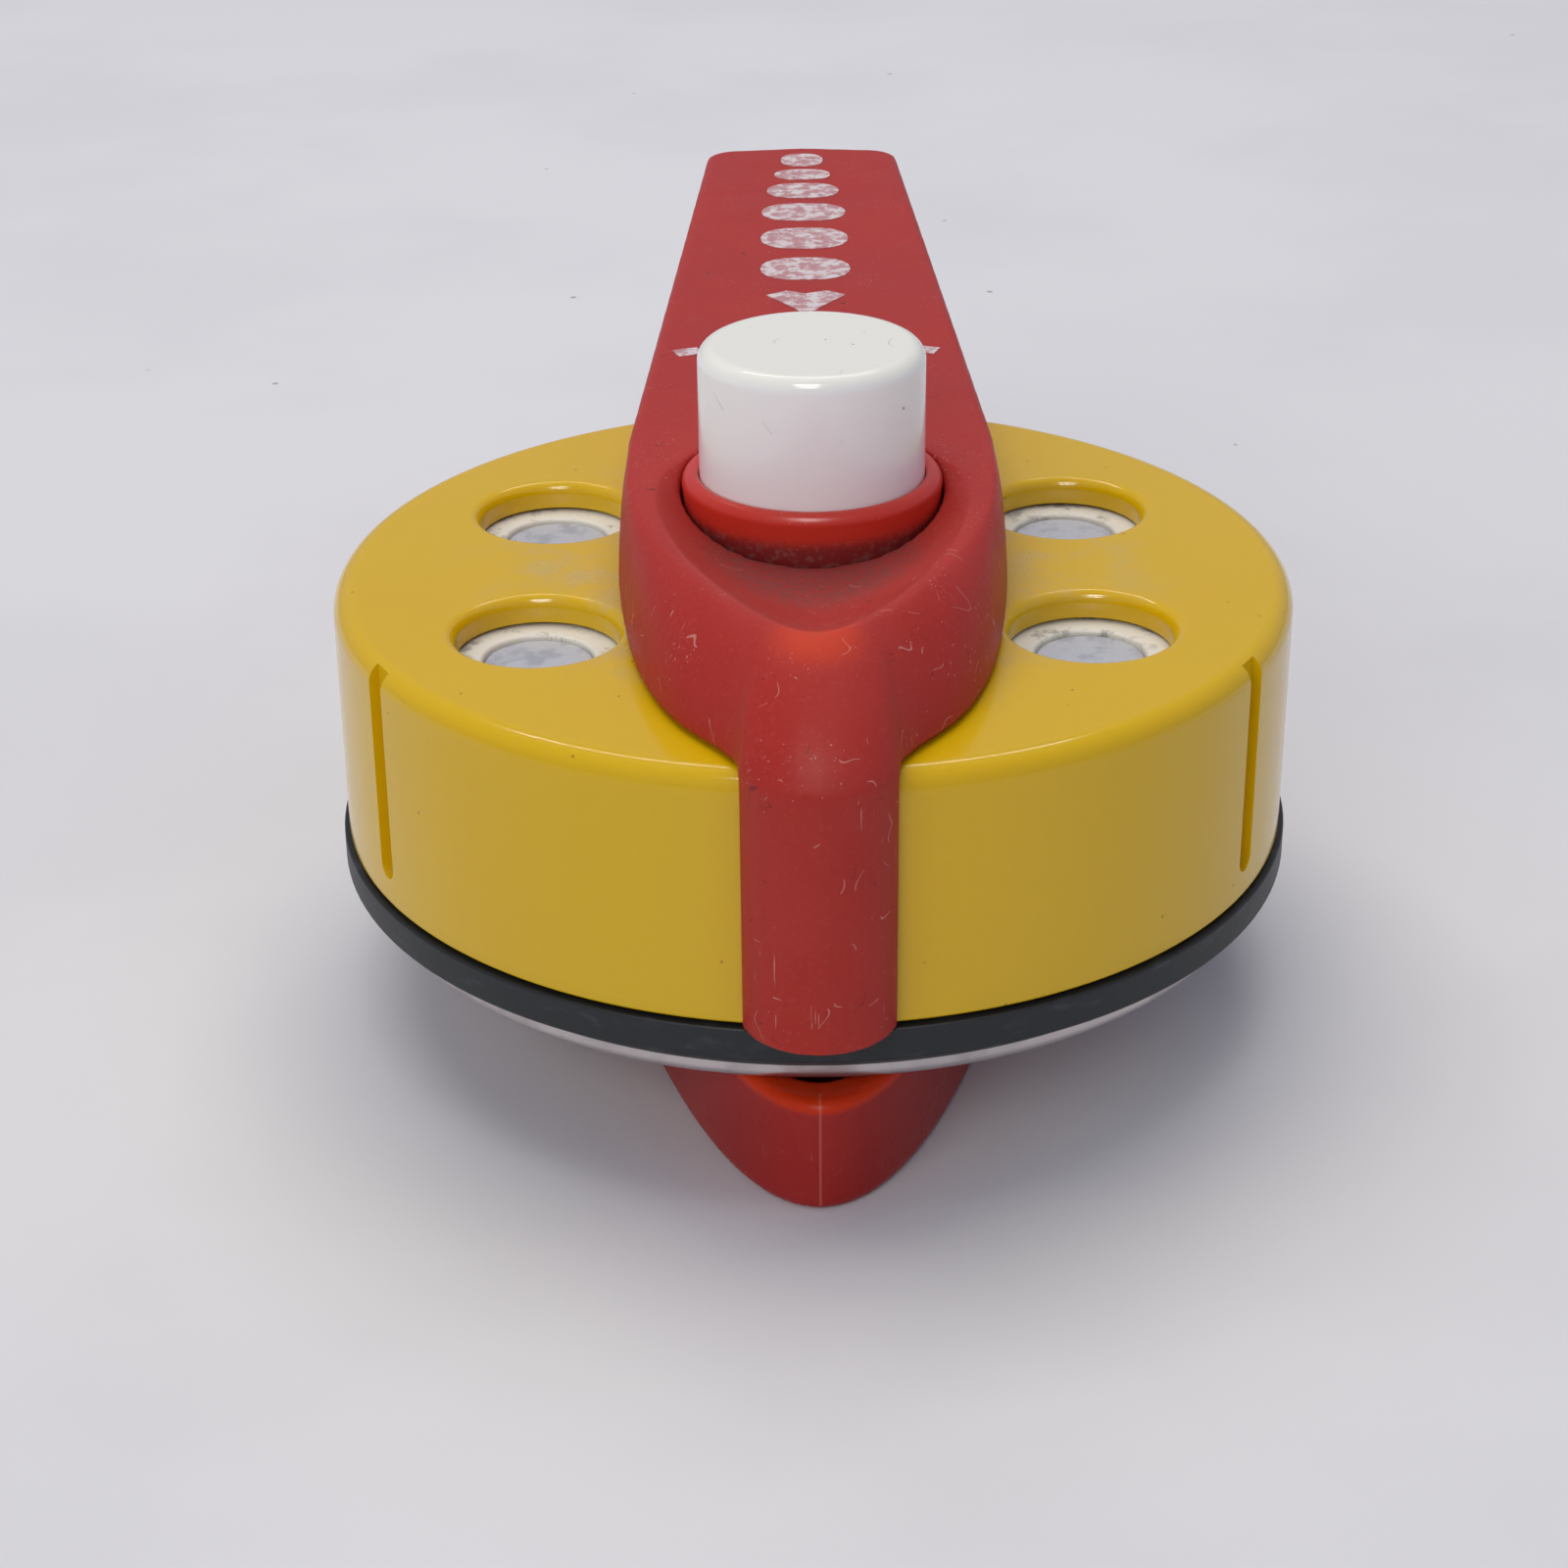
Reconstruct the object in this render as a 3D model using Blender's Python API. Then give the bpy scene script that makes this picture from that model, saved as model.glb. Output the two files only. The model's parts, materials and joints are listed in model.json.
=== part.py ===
"""Switchable welding magnet holder with a turning lever, a release button and a magnet keeper.

Metres, +Z up. The origin is on the axis of the disc, in the flat underside of the keeper.
The lever points along +Y and its nose along -Y.
"""

import math

import bmesh
import bpy
from mathutils import Matrix, Vector

MM = 0.001

# Clearance that every pair of touching pieces keeps.
GAP = 0.3 * MM

# Disc: the moulded cover, the rubber ring and the steel face under it.
COVER_HEIGHT = 23.6 * MM
COVER_WALL = 3.0 * MM
COVER_ROOF = 2.5 * MM
COVER_EDGE_FILLET = 1.8 * MM
RING_PROUD = 0.5 * MM
RING_HEIGHT = 3.3 * MM
RING_WIDTH = 4.5 * MM
FACE_INSET = 2.0 * MM
FACE_THICKNESS = 2.9 * MM
FACE_FILLET = 1.0 * MM
FACE_LAND = 8.5 * MM
SEPARATOR_WIDTH = 1.0 * MM
SEPARATOR_DEPTH = 0.3 * MM

# Six magnets on one pitch circle, seen through windows in the cover.
MAGNET_COUNT = 6
MAGNET_MARGIN = 1.1 * MM
FIRST_MAGNET_ANGLE = math.radians(30)
WINDOW_LIP = 0.1 * MM
WINDOW_STEP = 0.6 * MM
WINDOW_STEP_DEPTH = 1.4 * MM
SLEEVE_RADIUS = 8.3 * MM
SLEEVE_WALL = 1.9 * MM
SLEEVE_FLOOR = 1.0 * MM
LOWER_MAGNET_GROWTH = 0.1 * MM

# Index grooves in the side of the cover, in line with the windows.
GROOVE_WIDTH = 2.4 * MM
GROOVE_DEPTH = 0.9 * MM
GROOVE_FOOT = 2.7 * MM

# Base body, rotor and their bearings.
BASE_HEIGHT = 10.6 * MM
BASE_FLANGE_CLEARANCE = 0.5 * MM
ROTOR_HEADROOM = 2.5 * MM
ROTOR_WALL = 2.1 * MM
ROTOR_CLEARANCE = 2.4 * MM
WASHER_THICKNESS = 1.0 * MM
WASHER_MARGIN = 1.2 * MM
BUTTON_ROOM = 0.4 * MM
BOSS_WALL = 4.1 * MM
BUSH_WALL = 1.4 * MM
BUSH_FLANGE = 2.8 * MM
BUSH_FLANGE_THICKNESS = 1.2 * MM
GUIDE_WALL = 1.6 * MM
JOURNAL_WALL = 2.9 * MM
JOURNAL_DEPTH = 2.5 * MM

# Stop pin of the rotor, in a blind curved slot of the base body.
LEVER_SWING = math.radians(60)
STOP_OFFSET = 3.05 * MM
STOP_PIN_RADIUS = 2.0 * MM
STOP_PIN_REACH = 5.5 * MM
STOP_SLOT_DEPTH = 6.5 * MM

# Screws.
COVER_SCREW_COUNT = 3
COVER_SCREW_INSET = 4.7 * MM
COVER_SCREW_RADIUS = 1.5 * MM
COVER_SCREW_HEAD = 2.9 * MM
COVER_SCREW_SHORT = 1.2 * MM
COVER_LUG_RADIUS = 3.6 * MM
LEVER_SCREW_COUNT = 3
LEVER_SCREW_RADIUS = 1.2 * MM
LEVER_SCREW_HEAD = 2.3 * MM
LEVER_SCREW_HEAD_HEIGHT = 1.8 * MM
LEVER_SCREW_BITE = 5.8 * MM
SOCKET_DEPTH = 0.9 * MM
SOCKET_SHARE = 0.75

# Lever: a hub over the disc, a tapering arm and a half-round nose down the front of the cover.
HUB_HEIGHT = 9.1 * MM
HUB_LIP = 1.2 * MM
ARM_END = 114.0 * MM
ARM_END_HALF_WIDTH = 11.6 * MM
ARM_DRAFT = 0.01
ARM_END_BOW = 1.0 * MM
ARM_CORNER = 3.0 * MM
BRIDGE_LENGTH = 33.5 * MM
NOSE_RADIUS = 6.9 * MM
NOSE_REACH = 5.2 * MM
NOSE_INSET = 0.03 * MM
BOW_FOOT = 0.6 * MM
ARM_WALL = 2.4 * MM
ARM_RIB = 1.6 * MM
ARM_POCKET_DEPTH = 5.6 * MM
ARM_POCKET_START = 24.0 * MM
ARM_POCKET_ROWS = 6
SCOOP_CENTRE = 13.0 * MM
SCOOP_HALF_WIDTH = 11.3 * MM
SCOOP_HALF_LENGTH = 18.3 * MM
SCOOP_DEPTH = 4.2 * MM

# Button with its collar, plunger and return spring.
BUTTON_RADIUS = 10.5 * MM
BUTTON_RISE = 12.2 * MM
BUTTON_FILLET = 1.5 * MM
BUTTON_WALL = 1.8 * MM
BUTTON_ROOF = 2.2 * MM
BUTTON_SKIRT = 4.4 * MM
BUTTON_BOSS_WALL = 2.3 * MM
BUTTON_BOSS_HEIGHT = 9.4 * MM
BUTTON_STROKE = 6.0 * MM
COLLAR_WALL = 1.35 * MM
COLLAR_RIM = 0.4 * MM
COLLAR_HEIGHT = 7.2 * MM
PLUNGER_RADIUS = 3.0 * MM
STUD_STEP = 1.1 * MM
STUD_LENGTH = 6.0 * MM
PLUNGER_RECESS = 0.2 * MM
CLIP_REACH = 2.2 * MM
CLIP_THICKNESS = 0.8 * MM
CLIP_GROOVE = 0.6 * MM
CLIP_OPENING = math.radians(60)
SPRING_ROOM = 1.3 * MM
SPRING_WIRE_RADIUS = 0.6 * MM
SPRING_TURNS = 6

# Keeper: a boat-shaped shoe with a steel plate, under the magnet face.
KEEPER_HEIGHT = 10.9 * MM
KEEPER_TIP_RADIUS = 4.5 * MM
KEEPER_HALF_WIDTH = 22.0 * MM
KEEPER_STERN_CENTRE = 9.8 * MM
KEEPER_EYE_CENTRE = 38.8 * MM
KEEPER_EYE_RADIUS = 3.4 * MM
KEEPER_EDGE = 0.9 * MM
KEEPER_POCKET_SPARE = 0.4 * MM
KEEPER_POCKET_ROOM = 1.2 * MM
KEEPER_RIM = 3.5 * MM
PLATE_CENTRE = 4.0 * MM
PLATE_THICKNESS = 3.0 * MM
DOWEL_OFFSET = 15.0 * MM
DOWEL_RADIUS = 2.0 * MM
DOWEL_RISE = 5.0 * MM
DOWEL_SOCKET_DEPTH = 2.4 * MM
KEEPER_SCREW_OFFSET = 12.5 * MM
KEEPER_SCREW_RADIUS = 1.5 * MM
KEEPER_SCREW_HEAD = 2.8 * MM
KEEPER_SCREW_LENGTH = 7.0 * MM

# Facets of round pieces.
FINE = 48
MIDDLE = 24
COARSE = 14

# Radii that follow from the sizes above, from the plunger outwards.
GUIDE_BORE_RADIUS = PLUNGER_RADIUS + GAP
GUIDE_RADIUS = GUIDE_BORE_RADIUS + GUIDE_WALL
JOURNAL_RADIUS = GUIDE_BORE_RADIUS + JOURNAL_WALL
CLIP_RADIUS = PLUNGER_RADIUS + CLIP_REACH
STUD_RADIUS = PLUNGER_RADIUS - STUD_STEP
BUTTON_BOSS_RADIUS = STUD_RADIUS + BUTTON_BOSS_WALL
SPRING_MEAN_RADIUS = BUTTON_BOSS_RADIUS + SPRING_WIRE_RADIUS + SPRING_ROOM
COLLAR_INNER_RADIUS = BUTTON_RADIUS + GAP
COLLAR_OUTER_RADIUS = COLLAR_INNER_RADIUS + COLLAR_WALL
HUB_BORE_RADIUS = BUTTON_RADIUS + BUTTON_ROOM
HUB_BOSS_RADIUS = HUB_BORE_RADIUS + BOSS_WALL
LEVER_SCREW_CIRCLE = HUB_BORE_RADIUS + BOSS_WALL / 2
STOP_CIRCLE_RADIUS = LEVER_SCREW_CIRCLE + STOP_OFFSET
WASHER_RADIUS = STOP_CIRCLE_RADIUS - STOP_PIN_RADIUS - GAP - WASHER_MARGIN
BUSH_INNER_RADIUS = HUB_BOSS_RADIUS + GAP
BUSH_OUTER_RADIUS = BUSH_INNER_RADIUS + BUSH_WALL
COVER_BORE_RADIUS = BUSH_OUTER_RADIUS + GAP
HUB_HALF_WIDTH = COVER_BORE_RADIUS + HUB_LIP
WINDOW_RADIUS = SLEEVE_RADIUS - WINDOW_LIP
LOWER_MAGNET_RADIUS = SLEEVE_RADIUS + LOWER_MAGNET_GROWTH
MAGNET_PITCH_RADIUS = BUSH_OUTER_RADIUS + BUSH_FLANGE + MAGNET_MARGIN + SLEEVE_RADIUS
ROTOR_RADIUS = MAGNET_PITCH_RADIUS + SLEEVE_RADIUS + GAP + ROTOR_WALL
COVER_INNER_RADIUS = ROTOR_RADIUS + ROTOR_CLEARANCE
COVER_RADIUS = COVER_INNER_RADIUS + COVER_WALL
RING_RADIUS = COVER_RADIUS + RING_PROUD
RING_INNER_RADIUS = RING_RADIUS - RING_WIDTH
FACE_RADIUS = COVER_RADIUS - FACE_INSET
BASE_SPIGOT_RADIUS = RING_INNER_RADIUS - GAP
BASE_FLANGE_RADIUS = COVER_INNER_RADIUS - BASE_FLANGE_CLEARANCE
COVER_SCREW_CIRCLE = COVER_INNER_RADIUS - COVER_SCREW_INSET
NOSE_CENTRE = COVER_RADIUS + NOSE_REACH - NOSE_RADIUS
NOSE_CLEARANCE_RADIUS = COVER_RADIUS + GAP
KEEPER_POCKET_RADIUS = PLUNGER_RADIUS + KEEPER_POCKET_ROOM
PLATE_RADIUS = KEEPER_HALF_WIDTH - KEEPER_RIM

# Heights, from the floor up.
KEEPER_POCKET_DEPTH = BUTTON_STROKE + KEEPER_POCKET_SPARE
DOWEL_SOCKET_BOTTOM = KEEPER_HEIGHT - DOWEL_SOCKET_DEPTH
FACE_BOTTOM = KEEPER_HEIGHT + GAP
FACE_TOP = FACE_BOTTOM + FACE_THICKNESS
RING_BOTTOM = FACE_TOP + GAP
BASE_BOTTOM = FACE_TOP + GAP
BASE_TOP = BASE_BOTTOM + BASE_HEIGHT
COVER_SCREW_TOP = BASE_TOP - COVER_SCREW_SHORT
WASHER_BOTTOM = BASE_TOP + GAP
ROTOR_BOTTOM = WASHER_BOTTOM + WASHER_THICKNESS + GAP
COVER_BOTTOM = RING_BOTTOM + RING_HEIGHT + GAP
COVER_TOP = COVER_BOTTOM + COVER_HEIGHT
ROOF_BOTTOM = COVER_TOP - COVER_ROOF
ROTOR_TOP = ROOF_BOTTOM - ROTOR_HEADROOM
ROTOR_THICKNESS = ROTOR_TOP - ROTOR_BOTTOM
MAGNET_TOP = ROOF_BOTTOM - GAP
JOURNAL_BOTTOM = BASE_TOP - JOURNAL_DEPTH
CLIP_TOP = JOURNAL_BOTTOM - GAP
CLIP_BOTTOM = CLIP_TOP - CLIP_THICKNESS
LEVER_BOTTOM = COVER_TOP + GAP
LEVER_TOP = LEVER_BOTTOM + HUB_HEIGHT
BOSS_BOTTOM = ROTOR_TOP + GAP
COLLAR_TOP = LEVER_TOP + COLLAR_RIM
COLLAR_BOTTOM = COLLAR_TOP - COLLAR_HEIGHT
BUTTON_TOP = COLLAR_TOP + BUTTON_RISE
BUTTON_BOTTOM = COLLAR_TOP - BUTTON_SKIRT
BUTTON_INNER_TOP = BUTTON_TOP - BUTTON_ROOF
PLUNGER_BOTTOM = FACE_BOTTOM + PLUNGER_RECESS
PLUNGER_SHOULDER = BUTTON_INNER_TOP - BUTTON_BOSS_HEIGHT - GAP


def clear_scene():
    for obj in list(bpy.data.objects):
        bpy.data.objects.remove(obj)


def make_material(name, colour, roughness, metallic=0.0):
    material = bpy.data.materials.new(name)
    material.use_nodes = True
    shader = material.node_tree.nodes["Principled BSDF"]
    shader.inputs["Base Color"].default_value = (*colour, 1.0)
    shader.inputs["Roughness"].default_value = roughness
    shader.inputs["Metallic"].default_value = metallic
    return material


def link(name, bm, material=None):
    """Turns a bmesh into a named object with faces pointing out."""
    bmesh.ops.recalc_face_normals(bm, faces=bm.faces)
    mesh = bpy.data.meshes.new(name)
    bm.to_mesh(mesh)
    bm.free()
    obj = bpy.data.objects.new(name, mesh)
    bpy.context.scene.collection.objects.link(obj)
    if material:
        mesh.materials.append(material)
        mesh.shade_smooth()
        mesh.set_sharp_from_angle(angle=math.radians(35))
    return obj


def on_circle(radius, angle, z=0.0):
    return Vector((radius * math.cos(angle), radius * math.sin(angle), z))


def spread(count, first=0.0):
    """Angles of a pattern spread evenly round the axis."""
    return [first + step * math.tau / count for step in range(count)]


def arc(centre, radius, start, end, steps):
    """Points on an arc in a plane, both ends included."""
    points = []
    for step in range(steps + 1):
        angle = start + (end - start) * step / steps
        points.append((centre[0] + radius * math.cos(angle), centre[1] + radius * math.sin(angle)))
    return points


def turned_mesh(profile, steps, at=(0.0, 0.0, 0.0)):
    """Spins a closed (radius, height) profile once round the Z axis and moves it to a place."""
    bm = bmesh.new()
    verts = [bm.verts.new((radius, 0.0, height)) for radius, height in profile]
    edges = [bm.edges.new((a, b)) for a, b in zip(verts, verts[1:] + verts[:1])
             if a.co.x > 0 or b.co.x > 0]
    bmesh.ops.spin(bm, geom=verts + edges, cent=(0, 0, 0), axis=(0, 0, 1),
                   angle=math.tau, steps=steps, use_merge=True, use_duplicate=False)
    bmesh.ops.remove_doubles(bm, verts=bm.verts, dist=1e-7)
    bmesh.ops.translate(bm, verts=bm.verts, vec=at)
    return bm


def turned(name, profile, steps, material=None, at=(0.0, 0.0, 0.0)):
    return link(name, turned_mesh(profile, steps, at), material)


def cylinder_profile(radius, bottom, top):
    return [(0, bottom), (radius, bottom), (radius, top), (0, top)]


def ring_profile(inner, outer, bottom, top):
    return [(inner, bottom), (outer, bottom), (outer, top), (inner, top)]


def prism_mesh(outline, bottom, top):
    bm = bmesh.new()
    face = bm.faces.new([bm.verts.new((x, y, bottom)) for x, y in outline])
    raised = bmesh.ops.extrude_face_region(bm, geom=[face])["geom"]
    moved = [item for item in raised if isinstance(item, bmesh.types.BMVert)]
    bmesh.ops.translate(bm, verts=moved, vec=(0, 0, top - bottom))
    return bm


def merged(meshes):
    """One bmesh that holds several separate shapes."""
    whole = bmesh.new()
    for bm in meshes:
        mesh = bpy.data.meshes.new("shape")
        bmesh.ops.recalc_face_normals(bm, faces=bm.faces)
        bm.to_mesh(mesh)
        bm.free()
        whole.from_mesh(mesh)
        bpy.data.meshes.remove(mesh)
    return whole


def combine(obj, meshes, operation="DIFFERENCE"):
    """Cuts the shapes from an object, or joins them to it."""
    name = obj.name + "_" + operation.lower()
    tool = link(name, merged(meshes))
    tool.hide_render = True
    tool.display_type = "WIRE"
    modifier = obj.modifiers.new(name, "BOOLEAN")
    modifier.operation = operation
    modifier.solver = "EXACT"
    modifier.object = tool


def cylinders(radius, bottom, top, places, steps=COARSE):
    return [turned_mesh(cylinder_profile(radius, bottom, top), steps, (place.x, place.y, 0))
            for place in places]


def magnet_places():
    return [on_circle(MAGNET_PITCH_RADIUS, angle) for angle in spread(MAGNET_COUNT, FIRST_MAGNET_ANGLE)]


def cover_screw_places():
    return [on_circle(COVER_SCREW_CIRCLE, angle) for angle in spread(COVER_SCREW_COUNT)]


def lever_screw_places():
    return [on_circle(LEVER_SCREW_CIRCLE, angle) for angle in spread(LEVER_SCREW_COUNT, math.radians(30))]


def dowel_places():
    return [Vector((-DOWEL_OFFSET, 0, 0)), Vector((DOWEL_OFFSET, 0, 0))]


def keeper_screw_places():
    return [Vector((0, PLATE_CENTRE - KEEPER_SCREW_OFFSET, 0)),
            Vector((0, PLATE_CENTRE + KEEPER_SCREW_OFFSET, 0))]


def make_cover(material):
    """Moulded cover: a cap with windows over the magnets, index grooves and three screw lugs inside."""
    outer = [(COVER_BORE_RADIUS, COVER_TOP)]
    outer += [(r, z) for r, z in reversed(arc((COVER_RADIUS - COVER_EDGE_FILLET, COVER_TOP - COVER_EDGE_FILLET),
                                              COVER_EDGE_FILLET, 0, math.pi / 2, 4))]
    outer += [(COVER_RADIUS, COVER_BOTTOM), (COVER_INNER_RADIUS, COVER_BOTTOM)]
    outer += [(COVER_INNER_RADIUS, ROOF_BOTTOM), (COVER_BORE_RADIUS, ROOF_BOTTOM)]
    cover = turned("cover", outer, FINE, material)

    lug_centre = COVER_SCREW_CIRCLE
    lug_reach = COVER_INNER_RADIUS + COVER_WALL / 2
    lugs = []
    for angle in spread(COVER_SCREW_COUNT):
        outline = arc((lug_centre, 0), COVER_LUG_RADIUS, math.pi / 2, math.pi * 1.5, 10)
        outline += [(lug_reach, -COVER_LUG_RADIUS), (lug_reach, COVER_LUG_RADIUS)]
        bm = prism_mesh(outline, COVER_BOTTOM + GAP, BASE_TOP)
        bmesh.ops.rotate(bm, verts=bm.verts, cent=(0, 0, 0), matrix=Matrix.Rotation(angle, 3, "Z"))
        lugs.append(bm)
    combine(cover, lugs, "UNION")

    step = COVER_TOP - WINDOW_STEP_DEPTH
    profile = [(0, ROOF_BOTTOM - GAP), (WINDOW_RADIUS - WINDOW_STEP, ROOF_BOTTOM - GAP),
               (WINDOW_RADIUS - WINDOW_STEP, step), (WINDOW_RADIUS, step),
               (WINDOW_RADIUS, COVER_TOP + GAP), (0, COVER_TOP + GAP)]
    cuts = [turned_mesh(profile, MIDDLE, (place.x, place.y, 0)) for place in magnet_places()]
    for angle in spread(MAGNET_COUNT, FIRST_MAGNET_ANGLE):
        half = GROOVE_WIDTH / 2
        inside = COVER_RADIUS - GROOVE_DEPTH
        bm = prism_mesh([(inside, -half), (COVER_RADIUS + GROOVE_WIDTH, -half),
                         (COVER_RADIUS + GROOVE_WIDTH, half), (inside, half)],
                        COVER_BOTTOM + GROOVE_FOOT, COVER_TOP + GROOVE_WIDTH)
        bmesh.ops.rotate(bm, verts=bm.verts, cent=(0, 0, 0), matrix=Matrix.Rotation(angle, 3, "Z"))
        cuts.append(bm)
    cuts += cylinders(COVER_SCREW_RADIUS + GAP, COVER_BOTTOM, COVER_SCREW_TOP, cover_screw_places())
    combine(cover, cuts)
    return cover


def make_friction_ring(material):
    """Rubber ring between the cover and the face, which stops the holder from sliding."""
    lip = 0.8 * MM
    profile = [(RING_INNER_RADIUS, RING_BOTTOM)]
    profile += arc((RING_RADIUS - lip, RING_BOTTOM + lip), lip, -math.pi / 2, 0, 3)
    profile += [(RING_RADIUS, RING_BOTTOM + RING_HEIGHT), (RING_INNER_RADIUS, RING_BOTTOM + RING_HEIGHT)]
    return turned("friction_ring", profile, FINE, material)


def make_face_plate(material):
    """Steel face: a shallow groove parts its outer pole from the inner one."""
    land = FACE_RADIUS - FACE_FILLET - FACE_LAND
    inner = land - SEPARATOR_WIDTH
    profile = [(PLUNGER_RADIUS + GAP, FACE_BOTTOM), (inner, FACE_BOTTOM), (inner, FACE_BOTTOM + SEPARATOR_DEPTH),
               (land, FACE_BOTTOM + SEPARATOR_DEPTH), (land, FACE_BOTTOM)]
    profile += arc((FACE_RADIUS - FACE_FILLET, FACE_BOTTOM + FACE_FILLET), FACE_FILLET, -math.pi / 2, 0, 4)
    profile += [(FACE_RADIUS, FACE_TOP), (PLUNGER_RADIUS + GAP, FACE_TOP)]
    plate = turned("face_plate", profile, FINE, material)
    sink = COVER_SCREW_HEAD - COVER_SCREW_RADIUS
    hole = COVER_SCREW_RADIUS + GAP
    countersink = [(0, FACE_BOTTOM - GAP), (COVER_SCREW_HEAD + GAP, FACE_BOTTOM - GAP),
                   (COVER_SCREW_HEAD + GAP, FACE_BOTTOM + GAP / 2),
                   (hole, FACE_BOTTOM + sink + GAP), (hole, FACE_TOP + GAP), (0, FACE_TOP + GAP)]
    cuts = [turned_mesh(countersink, COARSE, (place.x, place.y, 0)) for place in cover_screw_places()]
    cuts += cylinders(DOWEL_RADIUS + GAP, FACE_BOTTOM - GAP, FACE_TOP + GAP, dowel_places())
    combine(plate, cuts)
    return plate


def stop_slot_mesh():
    """Curved slot with round ends that the stop pin runs in."""
    half = STOP_PIN_RADIUS + GAP
    middle = math.radians(90)
    first = middle - LEVER_SWING
    last = middle + LEVER_SWING
    outline = arc((0, 0), STOP_CIRCLE_RADIUS + half, first, last, 20)
    end = on_circle(STOP_CIRCLE_RADIUS, last)
    outline += arc((end.x, end.y), half, last, last + math.pi, 8)[1:-1]
    outline += arc((0, 0), STOP_CIRCLE_RADIUS - half, last, first, 20)
    start = on_circle(STOP_CIRCLE_RADIUS, first)
    outline += arc((start.x, start.y), half, first + math.pi, first + math.tau, 8)[1:-1]
    return prism_mesh(outline, BASE_TOP - STOP_SLOT_DEPTH, BASE_TOP + GAP)


def make_base_body(material):
    """Die-cast body that holds the six fixed magnets under the rotor."""
    profile = ring_profile(JOURNAL_RADIUS + GAP, BASE_SPIGOT_RADIUS, BASE_BOTTOM, COVER_BOTTOM)[:2]
    profile += [(BASE_SPIGOT_RADIUS, COVER_BOTTOM), (BASE_FLANGE_RADIUS, COVER_BOTTOM)]
    profile += [(BASE_FLANGE_RADIUS, BASE_TOP), (JOURNAL_RADIUS + GAP, BASE_TOP)]
    body = turned("base_body", profile, FINE, material)
    cuts = cylinders(LOWER_MAGNET_RADIUS + GAP, BASE_BOTTOM - GAP, BASE_TOP + GAP, magnet_places())
    cuts += cylinders(DOWEL_RADIUS + GAP, BASE_BOTTOM - GAP, FACE_BOTTOM + DOWEL_RISE + 2 * GAP, dowel_places())
    cuts.append(stop_slot_mesh())
    reach = BASE_FLANGE_RADIUS + COVER_WALL
    notch = COVER_LUG_RADIUS + GAP
    for angle in spread(COVER_SCREW_COUNT):
        outline = arc((COVER_SCREW_CIRCLE, 0), notch, math.pi / 2, math.pi * 1.5, 10)
        outline += [(reach, -notch), (reach, notch)]
        bm = prism_mesh(outline, COVER_BOTTOM, BASE_TOP + GAP)
        bmesh.ops.rotate(bm, verts=bm.verts, cent=(0, 0, 0), matrix=Matrix.Rotation(angle, 3, "Z"))
        cuts.append(bm)
    combine(body, cuts)
    holes = cylinders(COVER_SCREW_RADIUS + GAP, BASE_BOTTOM - GAP, COVER_BOTTOM + GAP, cover_screw_places(), 16)
    combine(body, holes)
    return body


def make_lower_magnets(material):
    for number, place in enumerate(magnet_places(), 1):
        turned(f"lower_magnet_{number}",
               cylinder_profile(LOWER_MAGNET_RADIUS, BASE_BOTTOM + GAP / 3, BASE_TOP - GAP),
               COARSE, material, place)


def make_cover_screws(material):
    """Countersunk screws from the face up into the lugs of the cover."""
    sink = COVER_SCREW_HEAD - COVER_SCREW_RADIUS
    socket = COVER_SCREW_RADIUS * SOCKET_SHARE
    bottom = FACE_BOTTOM + GAP / 3
    profile = [(0, bottom + SOCKET_DEPTH), (socket, bottom + SOCKET_DEPTH), (socket, bottom),
               (COVER_SCREW_HEAD, bottom), (COVER_SCREW_RADIUS, bottom + sink),
               (COVER_SCREW_RADIUS, COVER_SCREW_TOP - 2 * GAP), (0, COVER_SCREW_TOP - 2 * GAP)]
    for number, place in enumerate(cover_screw_places(), 1):
        turned(f"cover_screw_{number}", profile, COARSE, material, place)


def make_hub_bush(material):
    """Flanged bush in the cover, between the boss of the lever and the roof."""
    flange = BUSH_OUTER_RADIUS + BUSH_FLANGE
    flange_top = ROOF_BOTTOM - GAP
    flange_bottom = flange_top - BUSH_FLANGE_THICKNESS
    profile = [(BUSH_INNER_RADIUS, flange_bottom), (flange, flange_bottom), (flange, flange_top),
               (BUSH_OUTER_RADIUS, flange_top), (BUSH_OUTER_RADIUS, COVER_TOP - GAP),
               (BUSH_INNER_RADIUS, COVER_TOP - GAP)]
    turned("hub_bush", profile, MIDDLE, material)


def make_thrust_washer(material):
    turned("thrust_washer",
           ring_profile(JOURNAL_RADIUS + 2 * GAP, WASHER_RADIUS, WASHER_BOTTOM, WASHER_BOTTOM + WASHER_THICKNESS),
           MIDDLE, material)


def make_rotor(material):
    """Disc that the lever turns, with a pocket for each upper magnet."""
    rotor = turned("rotor", ring_profile(GUIDE_RADIUS + GAP, ROTOR_RADIUS, ROTOR_BOTTOM, ROTOR_TOP), FINE, material)
    cuts = cylinders(SLEEVE_RADIUS + GAP, ROTOR_BOTTOM - GAP, ROTOR_TOP + GAP, magnet_places())
    head = LEVER_SCREW_HEAD + GAP
    hole = LEVER_SCREW_RADIUS + GAP
    seat = ROTOR_BOTTOM + LEVER_SCREW_HEAD_HEIGHT + 2 * GAP
    profile = [(0, ROTOR_BOTTOM - GAP), (head, ROTOR_BOTTOM - GAP), (head, seat),
               (hole, seat), (hole, ROTOR_TOP + GAP), (0, ROTOR_TOP + GAP)]
    cuts += [turned_mesh(profile, COARSE, place) for place in lever_screw_places()]
    combine(rotor, cuts)
    combine(rotor, cylinders(STOP_PIN_RADIUS + GAP, ROTOR_BOTTOM - GAP, stop_pin_top() + GAP, [stop_pin_place()]))
    return rotor


def stop_pin_place():
    return on_circle(STOP_CIRCLE_RADIUS, math.radians(90))


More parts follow.
